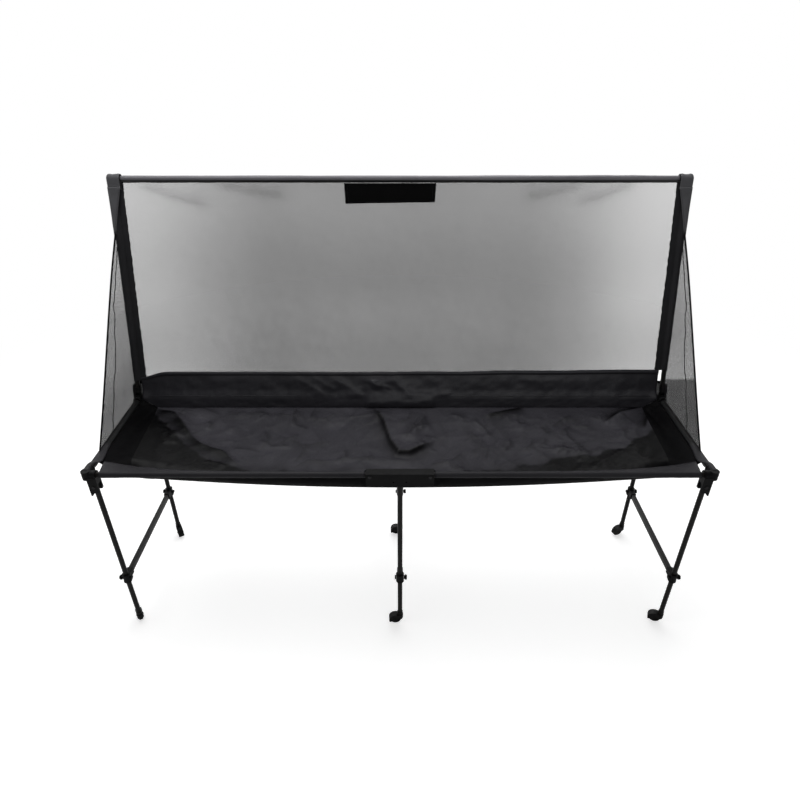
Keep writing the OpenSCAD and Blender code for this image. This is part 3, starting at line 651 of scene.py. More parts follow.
SLOT_LOOK = {"painted_tube": PAINT, "moulded_plastic": PLASTIC, "caster_plastic": CASTER, "pin_steel": STEEL,
             "tray_cloth": FLOOR_CLOTH, "band_cloth": BAND_CLOTH, "label_cloth": LABEL_CLOTH, "mesh": NET,
             "tyre": RUBBER}
for part in frame["record"]["subparts"]:
    cad = frame["nodes"][part["node"]]
    look = SLOT_LOOK[part["material_slot"]]
    if not cad.material_slots:
        cad.data.materials.append(look)
    for slot in cad.material_slots:
        slot.material = look


# ---------- tray ----------
# Places are (x, distance behind the front rim); heights are above the rim's tube centres.

FLOOR_NU, FLOOR_NV, WALL_N = 340, 80, 12
FOOT_BACK = DEPTH - 18 * MM
BACK_DROP = 32 * MM
# Where the end walls, the back cloth and the rim's corner meet, inside the corner connector
REAR_CORNER = (SIDE_X - 18 * MM, DEPTH - 16.3 * MM)
# The open front corners run from here on the side hem to here on the front hem
CUT_Y = 62 * MM
CUT_X = SIDE_X - 41 * MM
SIDE_IN = SIDE_X - HEM_R
WALL_TOP = -1.0 * MM
# How many of the wall's columns turn round each end of an open corner
TURN = 8

# Folds of the floor, as tables of creases
MAIN_FOLDS = [
    ([(-0.098, 0.425), (-0.06, 0.348), (-0.03, 0.24), (-0.004, 0.186), (0.03, 0.184), (0.075, 0.212),
      (0.118, 0.245)], 16, 90, 9),
    ([(-0.92, 0.43), (-0.803, 0.387), (-0.706, 0.258), (-0.658, 0.208), (-0.572, 0.173), (-0.5, 0.1)],
     12, 14, 40),
    ([(0.3, 0.372), (0.397, 0.408), (0.45, 0.425)], 9, 34, 9),
    ([(0.9, 0.43), (0.87, 0.36), (0.834, 0.285)], 13, 26, 8),
    ([(0.88, 0.43), (0.8, 0.395), (0.71, 0.33)], 9, 28, 12)]
LESSER_FOLDS = [
    ([(0.11, 0.33), (0.05, 0.3), (0.02, 0.25)], 10, 34, 22),
    ([(-0.62, 0.36), (-0.5, 0.395), (-0.34, 0.37)], 3, 30, 16),
    ([(0.15, 0.15), (0.2, 0.1), (0.24, 0.06)], 5, 18, 10),
    ([(0.53, 0.2), (0.6, 0.175), (0.68, 0.19)], 4, 26, 12),
    ([(0.6, 0.08), (0.66, 0.13), (0.74, 0.17)], 5, 22, 12),
    ([(-0.36, 0.1), (-0.3, 0.15), (-0.21, 0.14)], 4, 24, 12),
    ([(0.24, 0.3), (0.3, 0.22), (0.28, 0.14)], 3, 26, 14),
    ([(-0.42, 0.28), (-0.32, 0.22), (-0.24, 0.25)], 3, 30, 16)]
SMALL_FOLDS = 64
draw = np.random.default_rng(7).uniform
for _ in range(SMALL_FOLDS):
    cx, cy, turned = draw(-0.8, 0.8), draw(0.09, 0.4), draw(0, math.pi)
    length, bow = draw(0.02, 0.075), draw(-0.5, 0.5)
    dx, dy = math.cos(turned) * length, math.sin(turned) * length * 0.7
    LESSER_FOLDS.append(([(cx - dx, cy - dy), (cx - dy * bow, cy + dx * bow), (cx + dx, cy + dy)],
                         draw(1.5, 4.6), draw(9, 26), draw(5, 12)))

# Edge of the painted shade over the floor's front and ends: x, and the distance behind the rim
DARK_EDGE = (
    [-0.933, -0.895, -0.775, -0.684, -0.588, -0.45, 0, 0.331, 0.456, 0.558, 0.658, 0.731, 0.864, 0.9],
    [0.463, 0.407, 0.294, 0.18, 0.127, 0.095, 0.08, 0.105, 0.14, 0.16, 0.17, 0.19, 0.282, 0.38])
# The floor tilts up beyond a line through here, and folds fan out from the rear corners
FACET = (0.56, 0.123)
FAN = (0.95, 0.44)


def end_share(x):
    return np.clip(np.abs(x) / FLOOR_END_FRONT, 0, 1)


def foot_y(x):
    """How far behind the rim the front wall meets the floor."""
    return 22 * MM + 26 * MM * end_share(x) ** 2


def front_drop(x):
    """How far below the rim it does."""
    return 68 * MM - 22 * MM * end_share(x) ** 2


def soiled(P):
    """Painted shade on the floor cloth, 0 to 1: along the front, in the front corners, on the steep sides of the folds
    and following the crumples.
    """
    x, y = P[:, 0], P[:, 1] - Y_FRONT
    edge = np.interp(x, *DARK_EDGE) + 10 * MM * ripple(x, y, 11, 0.12)
    dark = smooth((edge - y) / (26 * MM) + 0.5) * (0.72 + 0.28 * smooth((np.abs(x) - 0.35) / 0.3))
    dark = np.maximum(dark, 0.55 * smooth((edge - y) / (130 * MM) + 0.5))
    for line, _, _, steep in MAIN_FOLDS:
        dark = np.maximum(dark, 0.85 * crease(x, y, line, 1.0, 2.5 * MM, (1.6 * steep + 8) * MM))
    for line, _, _, steep in LESSER_FOLDS:
        dark = np.maximum(dark, 0.34 * crease(x, y, line, 1.0, 1.5 * MM, (steep + 3) * MM))
    return np.clip(dark + 0.1 + 0.1 * ridged(x, y, 15, 0.15) + 0.07 * ridged(x, y, 13, 0.3), 0, 1)


def floor_height(x, y, u, v):
    """Height of the tray floor, with its folds; u and v are the shares across and back."""
    base = -lerp(front_drop(x), BACK_DROP, v)
    room = inside(1 - np.abs(u), 14) * inside(v, 9) * inside(1 - v, 9)
    sag = -13 * MM * np.sin(math.pi * v) ** 0.8 * (1 - u ** 6)
    beyond = (np.abs(x) - FACET[0]) * 0.631 - (y - FACET[1]) * 0.775
    facet = 0.13 * np.clip(beyond, 0, None) * smooth(v * 6)
    folds = creases(x, y, MAIN_FOLDS + LESSER_FOLDS)
    fan = 0
    for s in SIDES:
        beside, before = FAN[0] - s * x, FAN[1] - y
        away = np.hypot(before, beside)
        fan = fan + np.sin(np.arctan2(before, beside) * 17 + s) * 5.0 * MM * bump(away, 0.13, 0.1)
    soft = ripple(x, y, 3, 0.34) * 2.2 * MM + ridged(x, y, 13, 0.3) * 2.4 * MM
    soft = soft + ridged(x, y, 15, 0.15) * 1.3 * MM + ridged(x, y, 17, 0.07) * 0.6 * MM
    return base + sag + facet + room * (folds + fan + soft)


def tray_floor():
    u = np.linspace(-1, 1, FLOOR_NU)[:, None]
    v = np.linspace(0, 1, FLOOR_NV)[None, :]
    x = u * lerp(FLOOR_END_FRONT, FLOOR_END_BACK, v)
    y = lerp(foot_y(x), FOOT_BACK, v)
    # the two front corners are rounded
    corner = np.clip((np.abs(u) - 0.955) / 0.045, 0, 1) * np.clip((0.12 - v) / 0.12, 0, 1) * 9 * MM
    x = x - np.sign(u) * corner
    y = y + corner
    return rim(x, y, floor_height(x, y, u, v))


def around(grid):
    """The open edges of a grid, from the left rear corner round the front to the right rear one."""
    return np.concatenate([grid[0, ::-1], grid[1:, 0], grid[-1, 1:]])


def open_corner(s, w):
    """The walls' top edge across an open front corner, from the side hem at w 0 to the front hem at 1."""
    bow = np.sin(math.pi * w)
    return rim(s * (lerp(SIDE_IN, CUT_X, w) - 14 * MM * bow), lerp(CUT_Y, 9 * MM, w) + 6 * MM * bow,
               WALL_TOP - 6 * MM * bow)


def end_wall_top(s):
    """Along the side hem, from the rear corner to halfway across the open one."""
    k = np.arange(FLOOR_NV) / (FLOOR_NV - 1)
    turn = TURN / FLOOR_NV
    behind = lerp(REAR_CORNER[1], CUT_Y, np.clip(k / (1 - turn), 0, 1))
    inward = lerp(REAR_CORNER[0], SIDE_IN, smooth((REAR_CORNER[1] - behind) / (30 * MM)))
    w = np.clip((k - 1 + turn) / turn, 0, 1) * 0.5
    return np.where(k[:, None] > 1 - turn, open_corner(s, w), rim(s * inward, behind, WALL_TOP))


def front_wall_top():
    """Along the front hems and round the housing, from halfway across one open corner to the other."""
    k = np.arange(FLOOR_NU) / (FLOOR_NU - 1) * 2 - 1
    straight = 1 - 2 * TURN / FLOOR_NU
    x = np.clip(k / straight, -1, 1) * CUT_X
    y = np.where(np.abs(x) < HOUSING + 10 * MM, HOUSING_Y + 3 * MM, HEM_R)
    z = WALL_TOP + np.where(np.abs(x) < HOUSING + 2 * MM, 5 * MM, 0)
    w = 1 - 0.5 * np.clip((np.abs(k) - straight) / (1 - straight), 0, 1)
    return np.where(np.abs(k)[:, None] > straight, open_corner(np.sign(k), w), rim(x, y, z))


def tray_walls(foot):
    """The end walls and the front wall as one grid, from the floor's edge up to the hems."""
    top = np.concatenate([end_wall_top(-1)[:-1], front_wall_top(), end_wall_top(1)[-2::-1]])
    h = np.linspace(0, 1, WALL_N + 1)[None, :]
    wall = lerp(foot[:, None], top[:, None], h[..., None])
    x, y = wall[..., 0], wall[..., 1] - Y_FRONT
    # the front wall bulges out under its hem, the end walls hang in and fold
    end = smooth((np.abs(x) - 0.84) / 0.03)
    out = np.sin(math.pi * h) * smooth((DEPTH - 17 * MM - y) / (40 * MM))
    clear = np.abs(x) >= HOUSING + 12 * MM
    belly = 7 * MM + 1.6 * MM * ripple(x, h * 0.1, 21, 0.22)
    fan = np.sin(np.arctan2(0.45 - y, 0.004 + h * 0.075) * 9) * 5.5 * MM
    end_folds = fan - 7 * MM + 1.4 * MM * ripple(y, x * 0.3, 22, 0.12)
    front_folds = 0.9 * MM * ripple(x, h * 0.06, 23, 0.08)
    wall[..., 1] -= out * belly * (1 - end) * clear
    wall[..., 2] += out * lerp(front_folds, end_folds, end)
    return wall


def tray_bag(floor):
    """Floor and walls as one cloth."""
    wall = tray_walls(around(floor))
    count = FLOOR_NU * FLOOR_NV
    verts = np.concatenate([floor.reshape(-1, 3), wall[:, 1:].reshape(-1, 3)])
    floor_faces = grid_faces(FLOOR_NU, FLOOR_NV)
    edge_ids = around(np.arange(count).reshape(FLOOR_NU, FLOOR_NV))
    ids = np.concatenate([edge_ids[:, None], count + np.arange(len(wall) * WALL_N).reshape(-1, WALL_N)], 1)
    a, b = ids[:-1], ids[1:]
    wall_faces = np.stack([a[:, 1:], b[:, 1:], b[:, :-1], a[:, :-1]], -1).reshape(-1, 4)
    flat = verts[:, :2].copy()
    flat[count:, 1] += verts[count:, 2] - RIM_Z
    ob = add_mesh("tray_bag", verts, np.concatenate([floor_faces, wall_faces]), FLOOR_CLOTH, flat)
    # the walls take the darker copy of the floor cloth, painted shade
    ob.data.materials.append(WALL_CLOTH)
    ob.data.polygons.foreach_set("material_index", np.repeat([0, 1], [len(floor_faces), len(wall_faces)]))
    # painted shade on the floor: darker at its front, corners, folds and crumples
    mark(ob, "soiled", soiled)
    shell = ob.modifiers.new("shell", "SOLIDIFY")
    shell.thickness = CLOTH
    shell.offset = 0
    apply_modifiers(ob)
    return ob


floor = tray_floor()
tray = tray_bag(floor)
put("frame", "tray_cloth", tray)
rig.replaces(tray, "tray_floor", "tray_front", "tray_end_left", "tray_end_right")


# ---------- hems of the rim ----------

def hem_section(start_deg, end_deg, r, n):
    """Points round a tube in (behind, up), from one angle to another; 0 is behind the tube, 90 on top."""
    a = np.radians(np.linspace(start_deg, end_deg, n))
    return np.stack([np.cos(a) * r, np.sin(a) * r], -1)


def rolled(flap, back, under):
    """The last two points of a hem, whose flap is turned under at its edge."""
    y, z = flap[-1]
    return [[y - 1 * MM, z - 2.2 * MM], [y - back, z - under]]


def flap_edge(x):
    """How far behind the rim the front hem's upper face reaches, wide at the corners."""
    return np.interp(x, [0.1, 0.45, 0.6, 0.7, 0.787, 0.851, 0.905], [11, 12, 18, 22, 31, 43, 60]) * MM


def flap_lift(x):
    """0 where that face turns down with the tube, 1 where it lies flat."""
    return smooth((x - 0.45) / 0.4)


def near_front(y):
    """1 at the front end of a side hem, 0 from 80 mm further back."""
    return 1 - smooth((y - CUT_Y) / (80 * MM))


def front_hem(s):
    """Round the front tube, with an upper face that widens to a flap at the corner."""
    t = np.linspace(0, 1, 9)[1:]

    def section(x):
        r = HEM_R + 0.5 * MM + ripple(x * s, 0.3, 31, 0.16) * 0.5 * MM
        lift = flap_lift(x)
        flap_z = r - lift * 4.5 * MM * t ** 1.5 - (1 - lift) * r * 1.05 * t ** 2
        flap = np.stack([flap_edge(x) * t, flap_z], -1)
        return np.concatenate([hem_section(-28, -268, r, 22), flap, rolled(flap, 5 * MM, 2.8 * MM)])

    stations = np.concatenate([np.linspace(HOUSING + 2 * MM, 0.6, 70), np.linspace(0.605, CUT_X, 48)])
    x, y, z = swept(stations, section)
    x = x + smooth((x - 0.86) / 0.04) * np.clip(y / (60 * MM), 0, 1) * 11 * MM
    z = z + 0.7 * MM * ripple(x * s, y, 33, 0.07) * np.clip(y / (12 * MM), 0, 1)
    return cloth_sheet(f"front_hem_{SIDES[s]}", rim(x * s, y, z), HEM_CLOTH)


def side_hem(s):
    """Round the side tube, with a short upper face turned inward. At the front it opens into a strip that
    lies over the corner connector."""
    over = high(f"corner_front_{SIDES[s]}").z - RIM_Z + 0.8 * MM
    t = np.linspace(0, 1, 7)[1:]

    def section(y):
        strip = 1 - smooth((y - 34 * MM) / (24 * MM))
        near = near_front(y)
        wave = ripple(y, s * 0.2, 35, 0.11) * 0.5 * MM * (1 - strip)
        r = lerp(HEM_R + 0.4 * MM, over, strip) + wave
        reach = lerp(lerp(13 * MM, 24 * MM, near), 7 * MM, 1 - smooth((y - 44 * MM) / (18 * MM)))
        flap = np.stack([lerp(1 * MM, reach, t), r - 9 * MM * t ** 1.7 * lerp(1.0, 0.5, near)], -1)
        loop = hem_section(lerp(-28, -176, strip), -262, r, 22)
        return np.concatenate([loop, flap, rolled(flap, 4 * MM, 2.6 * MM)])

    stations = np.concatenate([np.linspace(3 * MM, 60 * MM, 26), np.linspace(CUT_Y, DEPTH - 33 * MM, 84)])
    y, inward, z = swept(stations, section)
    ob = cloth_sheet(f"side_hem_{SIDES[s]}", rim(s * (SIDE_X - inward), y, z), HEM_CLOTH)
    # painted shade on the side hem behind the side net
    mark(ob, "soiled", lambda P: smooth((P[:, 1] - Y_FRONT - 130 * MM) / (30 * MM)))
    return ob


def rear_hem(s):
    """Round the back of the rear tube; its two ends are sewn to the back cloth."""
    def section(x):
        r = HEM_R + 0.4 * MM + ripple(x * s, 0.7, 37, 0.14) * 0.5 * MM
        sewn = -HEM_R - 1 * MM
        return np.concatenate([[[sewn, 12 * MM]], hem_section(140, -140, r, 24), [[sewn, -13 * MM]]])

    x, y, z = swept(np.linspace(HOUSING + 2 * MM, SIDE_X - 32 * MM, 90), section)
    return cloth_sheet(f"rear_hem_{SIDES[s]}", rim(x * s, DEPTH + y, z), BAND_CLOTH)


def hem_stitches(s):
    """One row along the front hem's flap and one along the side hem's."""
    x = np.linspace(HOUSING + 5 * MM, CUT_X - 2 * MM, 60)
    z = HEM_R + 1.4 * MM - lerp(8.4 * MM, 4.2 * MM, flap_lift(x))
    front = rim(x * s, flap_edge(x) - 3 * MM, z)
    y = np.linspace(CUT_Y + 4 * MM, DEPTH - 36 * MM, 30)
    near = near_front(y)
    z = HEM_R + 1.0 * MM - 6.0 * MM * lerp(1.0, 0.5, near)
    side = rim(s * (SIDE_X - lerp(10 * MM, 21 * MM, near)), y, z)
    return stitches(f"hem_stitches_{SIDES[s]}", [front, side])


for s in SIDES:
    put("frame", "tray_cloth", front_hem(s), side_hem(s))
    put("frame", "band_cloth", rear_hem(s))
    put("frame", "tray_cloth", hem_stitches(s))


# ---------- back of the tray: one cloth from the floor's rear line to the band's top ----------

WALL_ROWS, BAND_ROWS = 14, 16
# Where along the mast the band starts and where it has left the frame; how far out of the seam it is sewn;
# how far its top edge hangs down at its left end
BAND_FOOT, BAND_FREE = -14 * MM, 16 * MM
SEAM_OUT = 3 * MM
DROOP = 19 * MM
# Creases of the band, on lines of (x, height above the mast's pivot)
BAND_CREASES = [
    ([(-0.4, 0.066), (-0.33, 0.03), (-0.27, -0.01)], 5.0, 12, 30),
    ([(-0.265, 0.066), (-0.2, 0.03), (-0.13, -0.015)], 5.5, 12, 30),
    ([(-0.33, 0.066), (-0.27, 0.03), (-0.22, 0.0)], 3.4, 10, 24),
    ([(-0.125, 0.06), (-0.085, 0.022), (-0.03, 0.018)], 7.5, 12, 20),
    ([(-0.11, 0.03), (-0.06, 0.045), (-0.01, 0.062)], 6.5, 12, 16),
    ([(-0.03, 0.062), (0.0, 0.02), (0.05, -0.02)], 6.5, 16, 20),
    ([(0.6, 0.05), (0.52, 0.04), (0.42, 0.044)], 2.5, 12, 12),
    ([(0.47, 0.062), (0.5, 0.036), (0.53, -0.01)], 3.0, 12, 26),
    ([(-0.72, 0.06), (-0.6, 0.052), (-0.46, 0.058)], 2.0, 12, 12),
    ([(0.2, 0.06), (0.32, 0.054), (0.42, 0.056)], 2.0, 12, 12),
    ([(0.03, 0.0), (0.1, -0.012), (0.19, -0.006)], 3.0, 14, 14)]


def band_droop(u):
    return DROOP * smooth((-u - 0.9) / 0.1)


def back_profile(z):
    """How far behind the front rim the back cloth lies at height z above the rim's centre: up in front of the
    rear hem, then over to the plane of the mast."""
    below = FOOT_BACK + 0.2 * (z + BACK_DROP)
    mast_plane = DEPTH - 0.5 * MM + (z - PIVOT_UP) * SIN / COS
    return lerp(below, mast_plane, smooth((z + 3 * MM) / (36 * MM)))


def back_cloth(foot):
    """Points of the back cloth, from the floor's rear edge up."""
    u = np.linspace(-1, 1, FLOOR_NU)[:, None]
    v = np.linspace(0, 1, BAND_ROWS)[None, :]
    half = np.where(u < 0, SIDE_X - 15.5 * MM, SIDE_X - 19.5 * MM)
    wave = 1.6 * MM * ripple(u * half, 0 * u, 41, 0.6, 2) + 2.2 * MM * bump(u * half, 0.37, 0.09)
    top = wave + 3 * MM + 8 * MM * smooth(u) - band_droop(u)
    along = lerp(BAND_FOOT, BAND_TOP, v) + top * v ** 2
    wall_z = np.linspace(-BACK_DROP, 8 * MM, WALL_ROWS)[:-1]
    z = np.concatenate([np.broadcast_to(wall_z, (FLOOR_NU, WALL_ROWS - 1)), PIVOT_UP + along * COS], 1)
    half = lerp(REAR_CORNER[0] + SEAM_OUT, half, smooth(z / (30 * MM)))
    x = u * lerp(FLOOR_END_BACK + SEAM_OUT, half, np.clip((z + BACK_DROP) / (BACK_DROP - 2 * MM), 0, 1))
    # round the housing, and in to the corner at the ends
    by_housing = (1 - smooth((np.abs(x) - 0.106) / 0.028)) * bump(z, -8 * MM, 24 * MM)
    y = back_profile(z) - by_housing * 8 * MM
    y = lerp(y, REAR_CORNER[1], smooth((np.abs(u) - 0.965) / 0.035) * bump(z, 0, 16 * MM))
    y[:, 0] = foot[:, 1] - Y_FRONT
    z[:, 0] = foot[:, 2] - RIM_Z
    P = rim(x, y, z)
    rise = np.linspace(0, 1, P.shape[1])[None, :]
    room = inside(rise, 8) * np.clip((1 - rise) * 5, 0.15, 1) * inside(1 - np.abs(u), 16)
    up = z - PIVOT_UP
    relief = creases(x, up, BAND_CREASES) + 1.6 * MM * ripple(x, up * 1.5, 43, 0.3)
    relief = relief + 0.9 * MM * ripple(x, up, 44, 0.07)
    relief = relief + 2.2 * MM * ripple(x, up, 45, 0.035, 2) * bump(x, -0.06, 0.07) * bump(up, 0.03, 0.04)
    clear = smooth(np.abs(z) / (14 * MM))
    n = normals_of(P)
    n = n * np.sign(-n[..., 1:2])
    return P + n * (room * (relief * lerp(0.35, 1.0, clear) + 1.0 * MM))[..., None]


P = back_cloth(floor[:, -1])
back = cloth_sheet("back_cloth", P, BAND_CLOTH)
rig.blend(back, "frame", "mast", start=mast(0, BAND_FOOT, 0).tolist(), end=mast(0, BAND_FREE, 0).tolist())
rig.slot(back, "band_cloth")
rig.replaces(back, "tray_back", "back_band")
# The hem over the band's top edge: the cloth's row, then mm behind and above it
OVER_EDGE = [(-3, -1.2, 0), (-2, -1.4, 0.2), (-1, -1.0, 0.9), (-1, 0.8, 1.1), (-2, 1.3, 0.3)]
rows = np.stack([P[:, row] + [0, y * MM, z * MM] for row, y, z in OVER_EDGE], 1)
put("mast", "band_cloth", cloth_sheet("band_hem", rows, BAND_CLOTH, 0.9 * MM),
    stitches("band_stitches", [P[2:-2, -3] + [0, -2.1 * MM, 0.6 * MM]]))


# ---------- mast: sleeves, hem, caps ----------

# The gussets hang below the caps, from here down to the caps' lowest point
GUSSET_TOP = MAST - 26 * MM
GUSSET_FOOT = foot_of("corner_caps")
# Where the left cap and its gusset end towards the middle, and how wide the caps' rounded outer ends are
CAP_INNER = 31 * MM - SIDE_X
CAP_ROUND = 7 * MM
TOP_HEM_R = 9.55 * MM
TOP_SEAM = 2.5 * MM


def post_sleeve(s):
    """A loop round the post and a flat double tail towards the net, with a few soft pulls. The left one
    starts further down the post."""
    start = SLEEVE_FOOT if s > 0 else SLEEVE_FOOT - 40 * MM
    t = np.linspace(0, 1, 9)

    def section(a):
        r = HEM_R + 0.5 * MM + 0.5 * MM * ripple(a, s * 0.5, 51, 0.15)
        pulls = 0.9 * MM * ripple(a, s * 0.1, 53, 0.05) + 1.3 * MM * abs(math.sin(a * math.pi / 0.027)) ** 3
        begin = (a - start) / (12 * MM) if s < 0 else (a - start + 22 * MM) / (26 * MM)
        tail = lerp(-15 * MM, SLEEVE_IN - SIDE_X + pulls, smooth(begin))
        lap = 0.9 * MM + 0.35 * MM * ripple(a, 0.9 * s, 55, 0.06)
        front = np.stack([lerp(tail, -1.5 * r, t), -lap - 0.5 * MM * np.sin(math.pi * t)], -1)
        rear = np.stack([lerp(-1.5 * r, tail, t), lap + 0 * t], -1)
        return np.concatenate([front, hem_section(215, 505, r, 22), rear])

    a, x, out = swept(np.linspace(start, MAST - 33 * MM, 170), section)
    a = a - (1 - smooth((a - start) / (9 * MM))) * 0.9 * MM * np.sin(x * 260)
    return cloth_sheet(f"sleeve_{SIDES[s]}", mast(s * (SIDE_X + x), a, out), SLEEVE_CLOTH, 1.0 * MM)


def corner_cap(s):
    """A cloth pocket over the elbow, closed and rounded at its outer end."""
    straight = HALF_W - CAP_ROUND
    angles = np.radians(np.linspace(180, 0, 17))
    down = np.linspace(0, -33 * MM, 10)[1:]

    def section(x):
        past = max(0.0, (x - straight) / CAP_ROUND)
        r = 13.4 * MM * math.sqrt(max(0.0, 1 - past ** 2)) + 0.7 * MM
        puff = 1 + 0.035 * ripple(x * s, 0.4, 61, 0.02)
        bulge = 1.5 * MM * (bump(x, SIDE_X - 24 * MM, 0.006) + bump(x, HALF_W - 10 * MM, 0.006))
        top = np.stack([np.cos(angles) * r, np.sin(angles) * (r * puff + bulge)], -1)
        # the front face eases in to the gusset
        front = lerp(-r, -max(r - 2.2 * MM, 0.7 * r), smooth(-down / (26 * MM)))
        return np.concatenate([np.stack([front, down], -1)[::-1], top, np.stack([r + 0 * down, down], -1)])

    rounded = straight + CAP_ROUND * np.sin(np.linspace(0.15, 1.45, 8))
    x, out, up = swept(np.concatenate([np.linspace(SIDE_X - 30 * MM, straight, 16), rounded]), section)
    return cloth_sheet(f"corner_cap_{SIDES[s]}", mast(s * x, MAST + up, out), CAP_CLOTH)


def gusset_inner(t):
    """The gusset's inner edge, from its top at t 0 to its point at 1."""
    return lerp(-CAP_INNER, SIDE_X + 5.4 * MM, t ** 0.9)


def gusset(s):
    """Reinforcement below the cap that narrows to a point on the sleeve's outer edge."""
    t = np.linspace(0, 1, 44)[:, None]
    w = np.linspace(0, 1, 13)[None, :]
    outer = lerp(HALF_W - 2.6 * MM, SIDE_X + 9.9 * MM, smooth(t * 1.5) * 0.6 + 0.4 * t)
    x = lerp(gusset_inner(t), outer, w)
    a = lerp(GUSSET_TOP, GUSSET_FOOT, t)
    fold = [(SIDE_X + side * MM, MAST - down * MM) for side, down in ((12, 36), (-4, 90), (6, 160))]
    out = -HEM_R - 1.6 * MM - 1.8 * MM * (1 - t) * np.sin(math.pi * w) - 2.4 * MM * (1 - smooth(t * 5))
    out = out - crease(x, a, fold, 1.5 * MM, 0.012, 0.005)
    return cloth_sheet(f"gusset_{SIDES[s]}", mast(s * x, a, out), CAP_CLOTH, 1.0 * MM)


def sleeve_stitches(s):
    """A row along each edge of the sleeve's tail and one down the gusset's inner edge."""
    a = np.linspace(SLEEVE_FOOT + 6 * MM, MAST - 60 * MM, 50)
    gusset_a = np.linspace(MAST - 34 * MM, MAST - 172 * MM, 20)
    t = (GUSSET_TOP - gusset_a) / (GUSSET_TOP - GUSSET_FOOT)
    outer = mast(s * (SIDE_X - 15.5 * MM), a, -2.3 * MM)
    inner = mast(s * (SLEEVE_IN + 5.5 * MM), a, -1.9 * MM)
    on_gusset = mast(s * (gusset_inner(t) + 3 * MM), gusset_a, -HEM_R - 3.4 * MM - 1.2 * MM * (1 - t))
    return stitches(f"sleeve_stitches_{SIDES[s]}", [outer, inner, on_gusset])


def top_hem(xs):
    """A loop round the top bar with a short stitched tail below it."""
    angles = np.radians(np.linspace(-172, 172, 26))

    def section(x):
        fuller = smooth((x - 0.1) / 0.2) - smooth((x - 0.75) / 0.1)
        r = TOP_HEM_R + 0.6 * MM + 0.55 * MM * ripple(x, 0.0, 71, 0.3) + 0.9 * MM * fuller
        tail = TOP_HEM_R + 2.2 * MM + 0.4 * MM * ripple(x, 0.5, 73, 0.1)
        loop = np.stack([np.sin(angles) * r, np.cos(angles) * r], -1)
        down = np.linspace(-r * 1.05, -tail, 5)
        front, rear = (np.stack([y + 0 * down, down], -1) for y in (-0.8 * MM, 0.8 * MM))
        return np.concatenate([front[::-1], loop, rear])

    x, out, up = swept(xs, section)
    ob = cloth_sheet("top_hem_cloth", mast(x, MAST + up, out), TOP_CLOTH, 1.0 * MM)
    # painted shade on the seam under the bar
    mark(ob, "soiled", lambda P: smooth((MAST - TOP_SEAM - along_at(P)) / TOP_SEAM))
    return ob


for s in SIDES:
    sleeve, cap = post_sleeve(s), corner_cap(s)
    put("mast", "tray_cloth", cap, gusset(s))
    put("mast", "band_cloth", sleeve, sleeve_stitches(s))
    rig.replaces(sleeve, f"post_sleeve_{SIDES[s]}")
    if s > 0:
        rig.replaces(cap, "corner_caps")

hem_x = np.linspace(CAP_INNER, -CAP_INNER, 300)
hem = top_hem(hem_x)
put("mast", "tray_cloth", hem)
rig.replaces(hem, "top_hem")


def label_points():
    """The bare label patch, hung a little crooked."""
    lo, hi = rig.box("label_patch")
    half = (hi.x - lo.x) / 2
    top = head_of("label_patch")
    drop = top - foot_of("label_patch") - 1 * MM
    u = np.linspace(-1, 1, 61)[:, None]
    v = np.linspace(0, 1, 15)[None, :]
    x = (lo.x + hi.x) / 2 + u * half * lerp(1.0, 0.975, v)
    a = top - v * drop - 4.5 * MM * v * (1 - u) / 2
    belly = 1.1 * MM * np.sin(math.pi * v) * (1 + 0.4 * np.sin(u * 7))
    return mast(x, a, -3.0 * MM - belly - 0.4 * MM * ripple(u * half, v * drop, 81, 0.12))


P = label_points()
label = cloth_sheet("label_blank", P, LABEL_CLOTH)
q = P + [0, -0.9 * MM, 0.2 * MM]
border = np.concatenate([q[3:-3, 1], q[-3, 1:-1], q[-3:2:-1, -2], q[2, -2:0:-1]])
put("mast", "label_cloth", label, stitches("label_stitches", [border], pitch=4.5 * MM))
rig.replaces(label, "label_patch")
put("mast", "tray_cloth", stitches("top_hem_stitches", [mast(hem_x[2:-2], MAST - 10.9 * MM, -1.9 * MM)]))


# ---------- nets ----------

# How far the back net runs in under the sleeves, the band and the top hem
SIDE_LAP, FOOT_LAP, TOP_LAP = 4 * MM, 6 * MM, 9 * MM
# Pleats hang from the hem near its corners: lines of (x, distance up the mast)
PLEATS = [[(-0.86, 0.7), (-0.817, 0.686), (-0.7, 0.648), (-0.62, 0.632)],
          [(-0.61, 0.7), (-0.552, 0.69), (-0.458, 0.671), (-0.36, 0.66)],
          [(0.58, 0.64), (0.649, 0.659), (0.7, 0.678), (0.77, 0.7)],
          [(0.4, 0.655), (0.5, 0.672), (0.6, 0.7)]]
PLEAT_SHARE = 0.11


def net_billow(x, a):
    """How far the back net stands behind the mast's plane."""
    u = x / NET_X
    v = (a - NET_FOOT) / (NET_TOP - NET_FOOT)
    room = inside(1 - np.abs(u), 6) * inside(v, 5) * inside(1 - v, 5)
    billow = 9 * MM * np.sin(math.pi * np.clip(v, 0, 1)) * (1 - u ** 4)
    billow = billow + room * (4.0 * MM * ripple(x, a, 91, 0.55) + 1.5 * MM * ripple(x, a, 92, 0.16))
    billow = billow + crease(x, a, [(-0.86, 0.668), (-0.74, 0.63), (-0.6, 0.6)], 3.0 * MM, 0.02, 0.03)
    rings = np.sin(np.sqrt((x + 0.9) ** 2 + (a - 0.72) ** 2) * 60)
    return billow + room * 1.6 * MM * rings * bump(u, -1, 0.25)


def folded(P):
    """Where the net lies double along its pleats."""
    return sum(crease(P[:, 0], along_at(P), line, PLEAT_SHARE, 24 * MM, 11 * MM) for line in PLEATS)


